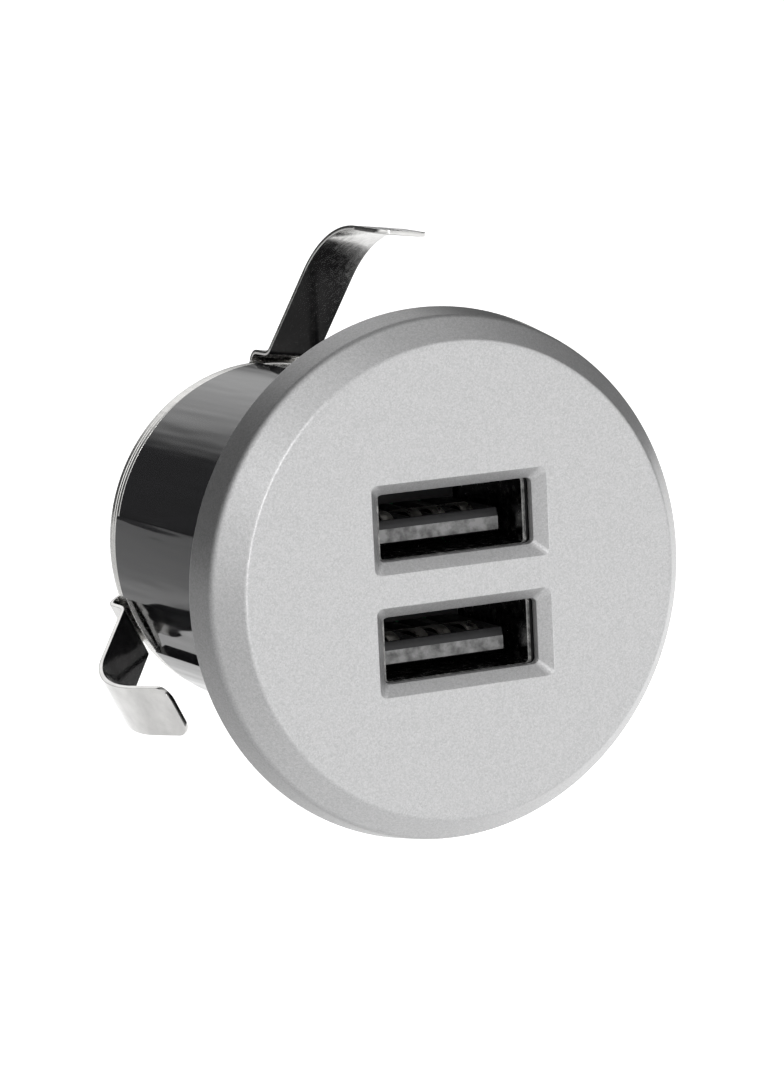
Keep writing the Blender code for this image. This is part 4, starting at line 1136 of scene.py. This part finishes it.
class CHARGER_OT_port_pins(bpy.types.Operator):
    """Shear one solder pin with a rounded tip and copy it behind every contact"""

    bl_idname = "charger.port_pins"
    bl_label = "Port pins"

    def execute(self, context):
        low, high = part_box("pin_upper_1")
        level = (low.z + high.z) / 2
        path = [(low.y, level), (low.y + 1.0 * MM, level), (high.y, level)]
        pattern = strip("pin_pattern", high.x - low.x, path, high.z - low.z, 0.14 * MM,
                        0.04 * MM)
        fill_ports(pattern, "solder_pin", "pin", "root")
        return {"FINISHED"}


class CHARGER_OT_power_board(bpy.types.Operator):
    """Rout the power board with rounded corners, drill it and add its solder joints"""

    bl_idname = "charger.power_board"
    bl_label = "Power board"

    def execute(self, context):
        low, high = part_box("power_board")
        middle = (low + high) / 2
        board = open_plane("board_power", 1.0, (middle.x, middle.y, low.z))
        bpy.ops.transform.resize(value=(high.x - low.x, high.y - low.y, 1.0))
        bpy.ops.mesh.bevel(offset=0.8 * MM, segments=5, affect="VERTICES")
        bpy.ops.mesh.extrude_region_move(
            TRANSFORM_OT_translate={"value": (0.0, 0.0, high.z - low.z)})
        tidy_mesh(board)
        inset = 1.6 * MM
        for x in (low.x + inset, high.x - inset):
            for y in (low.y + inset, high.y - inset):
                set_down()
                bpy.ops.mesh.primitive_cylinder_add(vertices=24, radius=0.7 * MM,
                                                    depth=4.0 * MM,
                                                    location=(x, y, middle.z))
                combine(board, set_in_place(name_new("hole_tool")), "DIFFERENCE")
        for x in (-8.6 * MM, -7.1 * MM, -5.6 * MM):  # rows of solder joints
            for y in (20.2 * MM, 22.1 * MM, 24.0 * MM):
                set_down()
                bpy.ops.mesh.primitive_uv_sphere_add(segments=16, ring_count=8,
                                                     radius=0.5 * MM,
                                                     location=(x, y, low.z))
                joint = name_new("solder_tool")
                joint.scale = (1.0, 1.0, 0.4)
                combine(board, set_in_place(joint), "UNION")
        soften(board, 0.05 * MM, 1, 60.0)
        for face in board.data.polygons:
            if face.center.z < low.z - 0.004 * MM:
                face.material_index = 1  # solder
        finish_piece(board, ["board_green", "contact_plating"], "root",
                     ["power_board"])
        return {"FINISHED"}


class CHARGER_OT_inner_finishes(bpy.types.Operator):
    """Give every frame node that stays in view its own finish"""

    bl_idname = "charger.inner_finishes"
    bl_label = "Inner finishes"

    def execute(self, context):
        slots = {row["node"]: row["material_slot"] for row in frame["record"]["subparts"]}
        for name, node in frame["nodes"].items():
            if node.hide_render:
                continue
            node.data.materials.clear()
            slot = slots[name]
            node.data.materials.append(finish(SLOT_FINISHES.get(slot, slot)))
        return {"FINISHED"}


# Stage

def hang_lights(world, stage):
    """Large diffused boxes and a dim room round them, all in the world's background."""
    world.use_nodes = True
    tree = world.node_tree
    direction = add_node(tree, "TexCoord").outputs["Generated"]
    total = None
    for towards, setting, full, edge in LIGHT_BOXES:
        facing = add_node(tree, "VectorMath", [(0, direction)], "DOT_PRODUCT")
        facing.inputs[1].default_value = Vector(towards).normalized()
        fade = add_node(tree, "MapRange", [("Value", facing.outputs["Value"])],
                        From_Min=math.cos(math.radians(edge)),
                        From_Max=math.cos(math.radians(full)),
                        To_Max=getattr(stage, setting))
        fade.interpolation_type = "SMOOTHSTEP"
        both = add_node(tree, "Math", [(1, fade.outputs["Result"])], "ADD")
        both.inputs[0].default_value = stage.room_light
        if total is not None:
            tree.links.new(total, both.inputs[0])
        total = both.outputs["Value"]
    background = tree.nodes["Background"]
    background.inputs["Color"].default_value = (1.0, 1.0, 1.0, 1.0)
    tree.links.new(total, background.inputs["Strength"])


def soft_light(name, place, width, height, radiance):
    """A softbox of an even radiance, turned towards the charger."""
    set_down()
    bpy.ops.object.light_add(type="AREA", location=place)
    light = bpy.context.active_object
    light.name = name
    light.data.shape = "RECTANGLE"
    light.data.size = width
    light.data.size_y = height
    light.data.energy = radiance * math.pi * width * height
    direction = Vector((0.0, 10 * MM, 0.0)) - Vector(place)
    light.rotation_euler = direction.to_track_quat("-Z", "Y").to_euler()


def place_camera(lens):
    """Sets up the camera from its place and the ways it looks and holds its right side."""
    set_down()
    bpy.ops.object.camera_add(location=CAMERA_PLACE)
    camera = bpy.context.active_object
    camera.name = "camera"
    camera.data.lens = lens
    camera.data.sensor_width = 36.0
    camera.data.clip_start = 0.01
    camera.data.clip_end = 50.0
    forward = Vector(CAMERA_FORWARD).normalized()
    up = Vector(CAMERA_RIGHT).normalized().cross(forward).normalized()
    turn = Matrix((forward.cross(up), up, -forward)).transposed()
    camera.rotation_mode = "QUATERNION"
    camera.rotation_quaternion = turn.to_quaternion()
    return camera


class CHARGER_OT_stage(bpy.types.Operator):
    """Lay the pale floor, hang the soft lights and set the camera"""

    bl_idname = "charger.stage"
    bl_label = "Stage"

    def execute(self, context):
        stage = context.scene.charger_stage
        set_down()
        bpy.ops.mesh.primitive_grid_add(x_subdivisions=8, y_subdivisions=8,
                                        size=FLOOR_WIDTH,
                                        location=(0.0, 0.0, -stage.floor_drop))
        floor = set_in_place(name_new("floor"))
        floor.data.materials.append(finish("floor_paper"))

        world = bpy.data.worlds.new("studio")
        context.scene.world = world
        hang_lights(world, stage)
        soft_light("edge_strip", (-0.42, -1.2, 0.36), 0.1, 1.1, stage.edge_light)
        soft_light("overhead", (0.25, 0.35, 1.8), 1.4, 1.4, stage.floor_light)

        context.scene.camera = place_camera(stage.lens)
        context.scene.view_settings.view_transform = "Standard"
        return {"FINISHED"}


class CHARGER_PT_panel(bpy.types.Panel):
    """The charger's steps, in the 3D view's sidebar"""

    bl_idname = "CHARGER_PT_panel"
    bl_label = "USB charger"
    bl_space_type = "VIEW_3D"
    bl_region_type = "UI"
    bl_category = "Charger"

    def draw(self, context):
        for step in STEPS:
            self.layout.operator(step.bl_idname)
        for group in GROUPS:
            settings = getattr(context.scene, group)
            column = self.layout.column(align=True)
            for name in settings.bl_rna.properties.keys():
                if name not in ("rna_type", "name"):
                    column.prop(settings, name)


GROUPS = {
    "charger_plate": PlateSizes,
    "charger_housing": HousingSizes,
    "charger_clip": ClipSizes,
    "charger_port": PortSizes,
    "charger_stage": StageSettings,
}
STEPS = (
    CHARGER_OT_front_plate,
    CHARGER_OT_housing,
    CHARGER_OT_rear_cap,
    CHARGER_OT_clip_ring,
    CHARGER_OT_clip_legs,
    CHARGER_OT_hub_screws,
    CHARGER_OT_cable_gland,
    CHARGER_OT_port_shells,
    CHARGER_OT_port_tongues,
    CHARGER_OT_port_contacts,
    CHARGER_OT_port_pins,
    CHARGER_OT_power_board,
    CHARGER_OT_inner_finishes,
    CHARGER_OT_stage,
)


def register():
    for group in (*GROUPS.values(), *STEPS, CHARGER_PT_panel):
        bpy.utils.register_class(group)
    for name, group in GROUPS.items():
        setattr(bpy.types.Scene, name, PointerProperty(type=group))


def unregister():
    for name in GROUPS:
        delattr(bpy.types.Scene, name)
    for group in reversed((*GROUPS.values(), *STEPS, CHARGER_PT_panel)):
        bpy.utils.unregister_class(group)


def main():
    register()
    for step in STEPS:
        module, name = step.bl_idname.split(".")
        getattr(getattr(bpy.ops, module), name)()


if __name__ == "__main__":
    main()
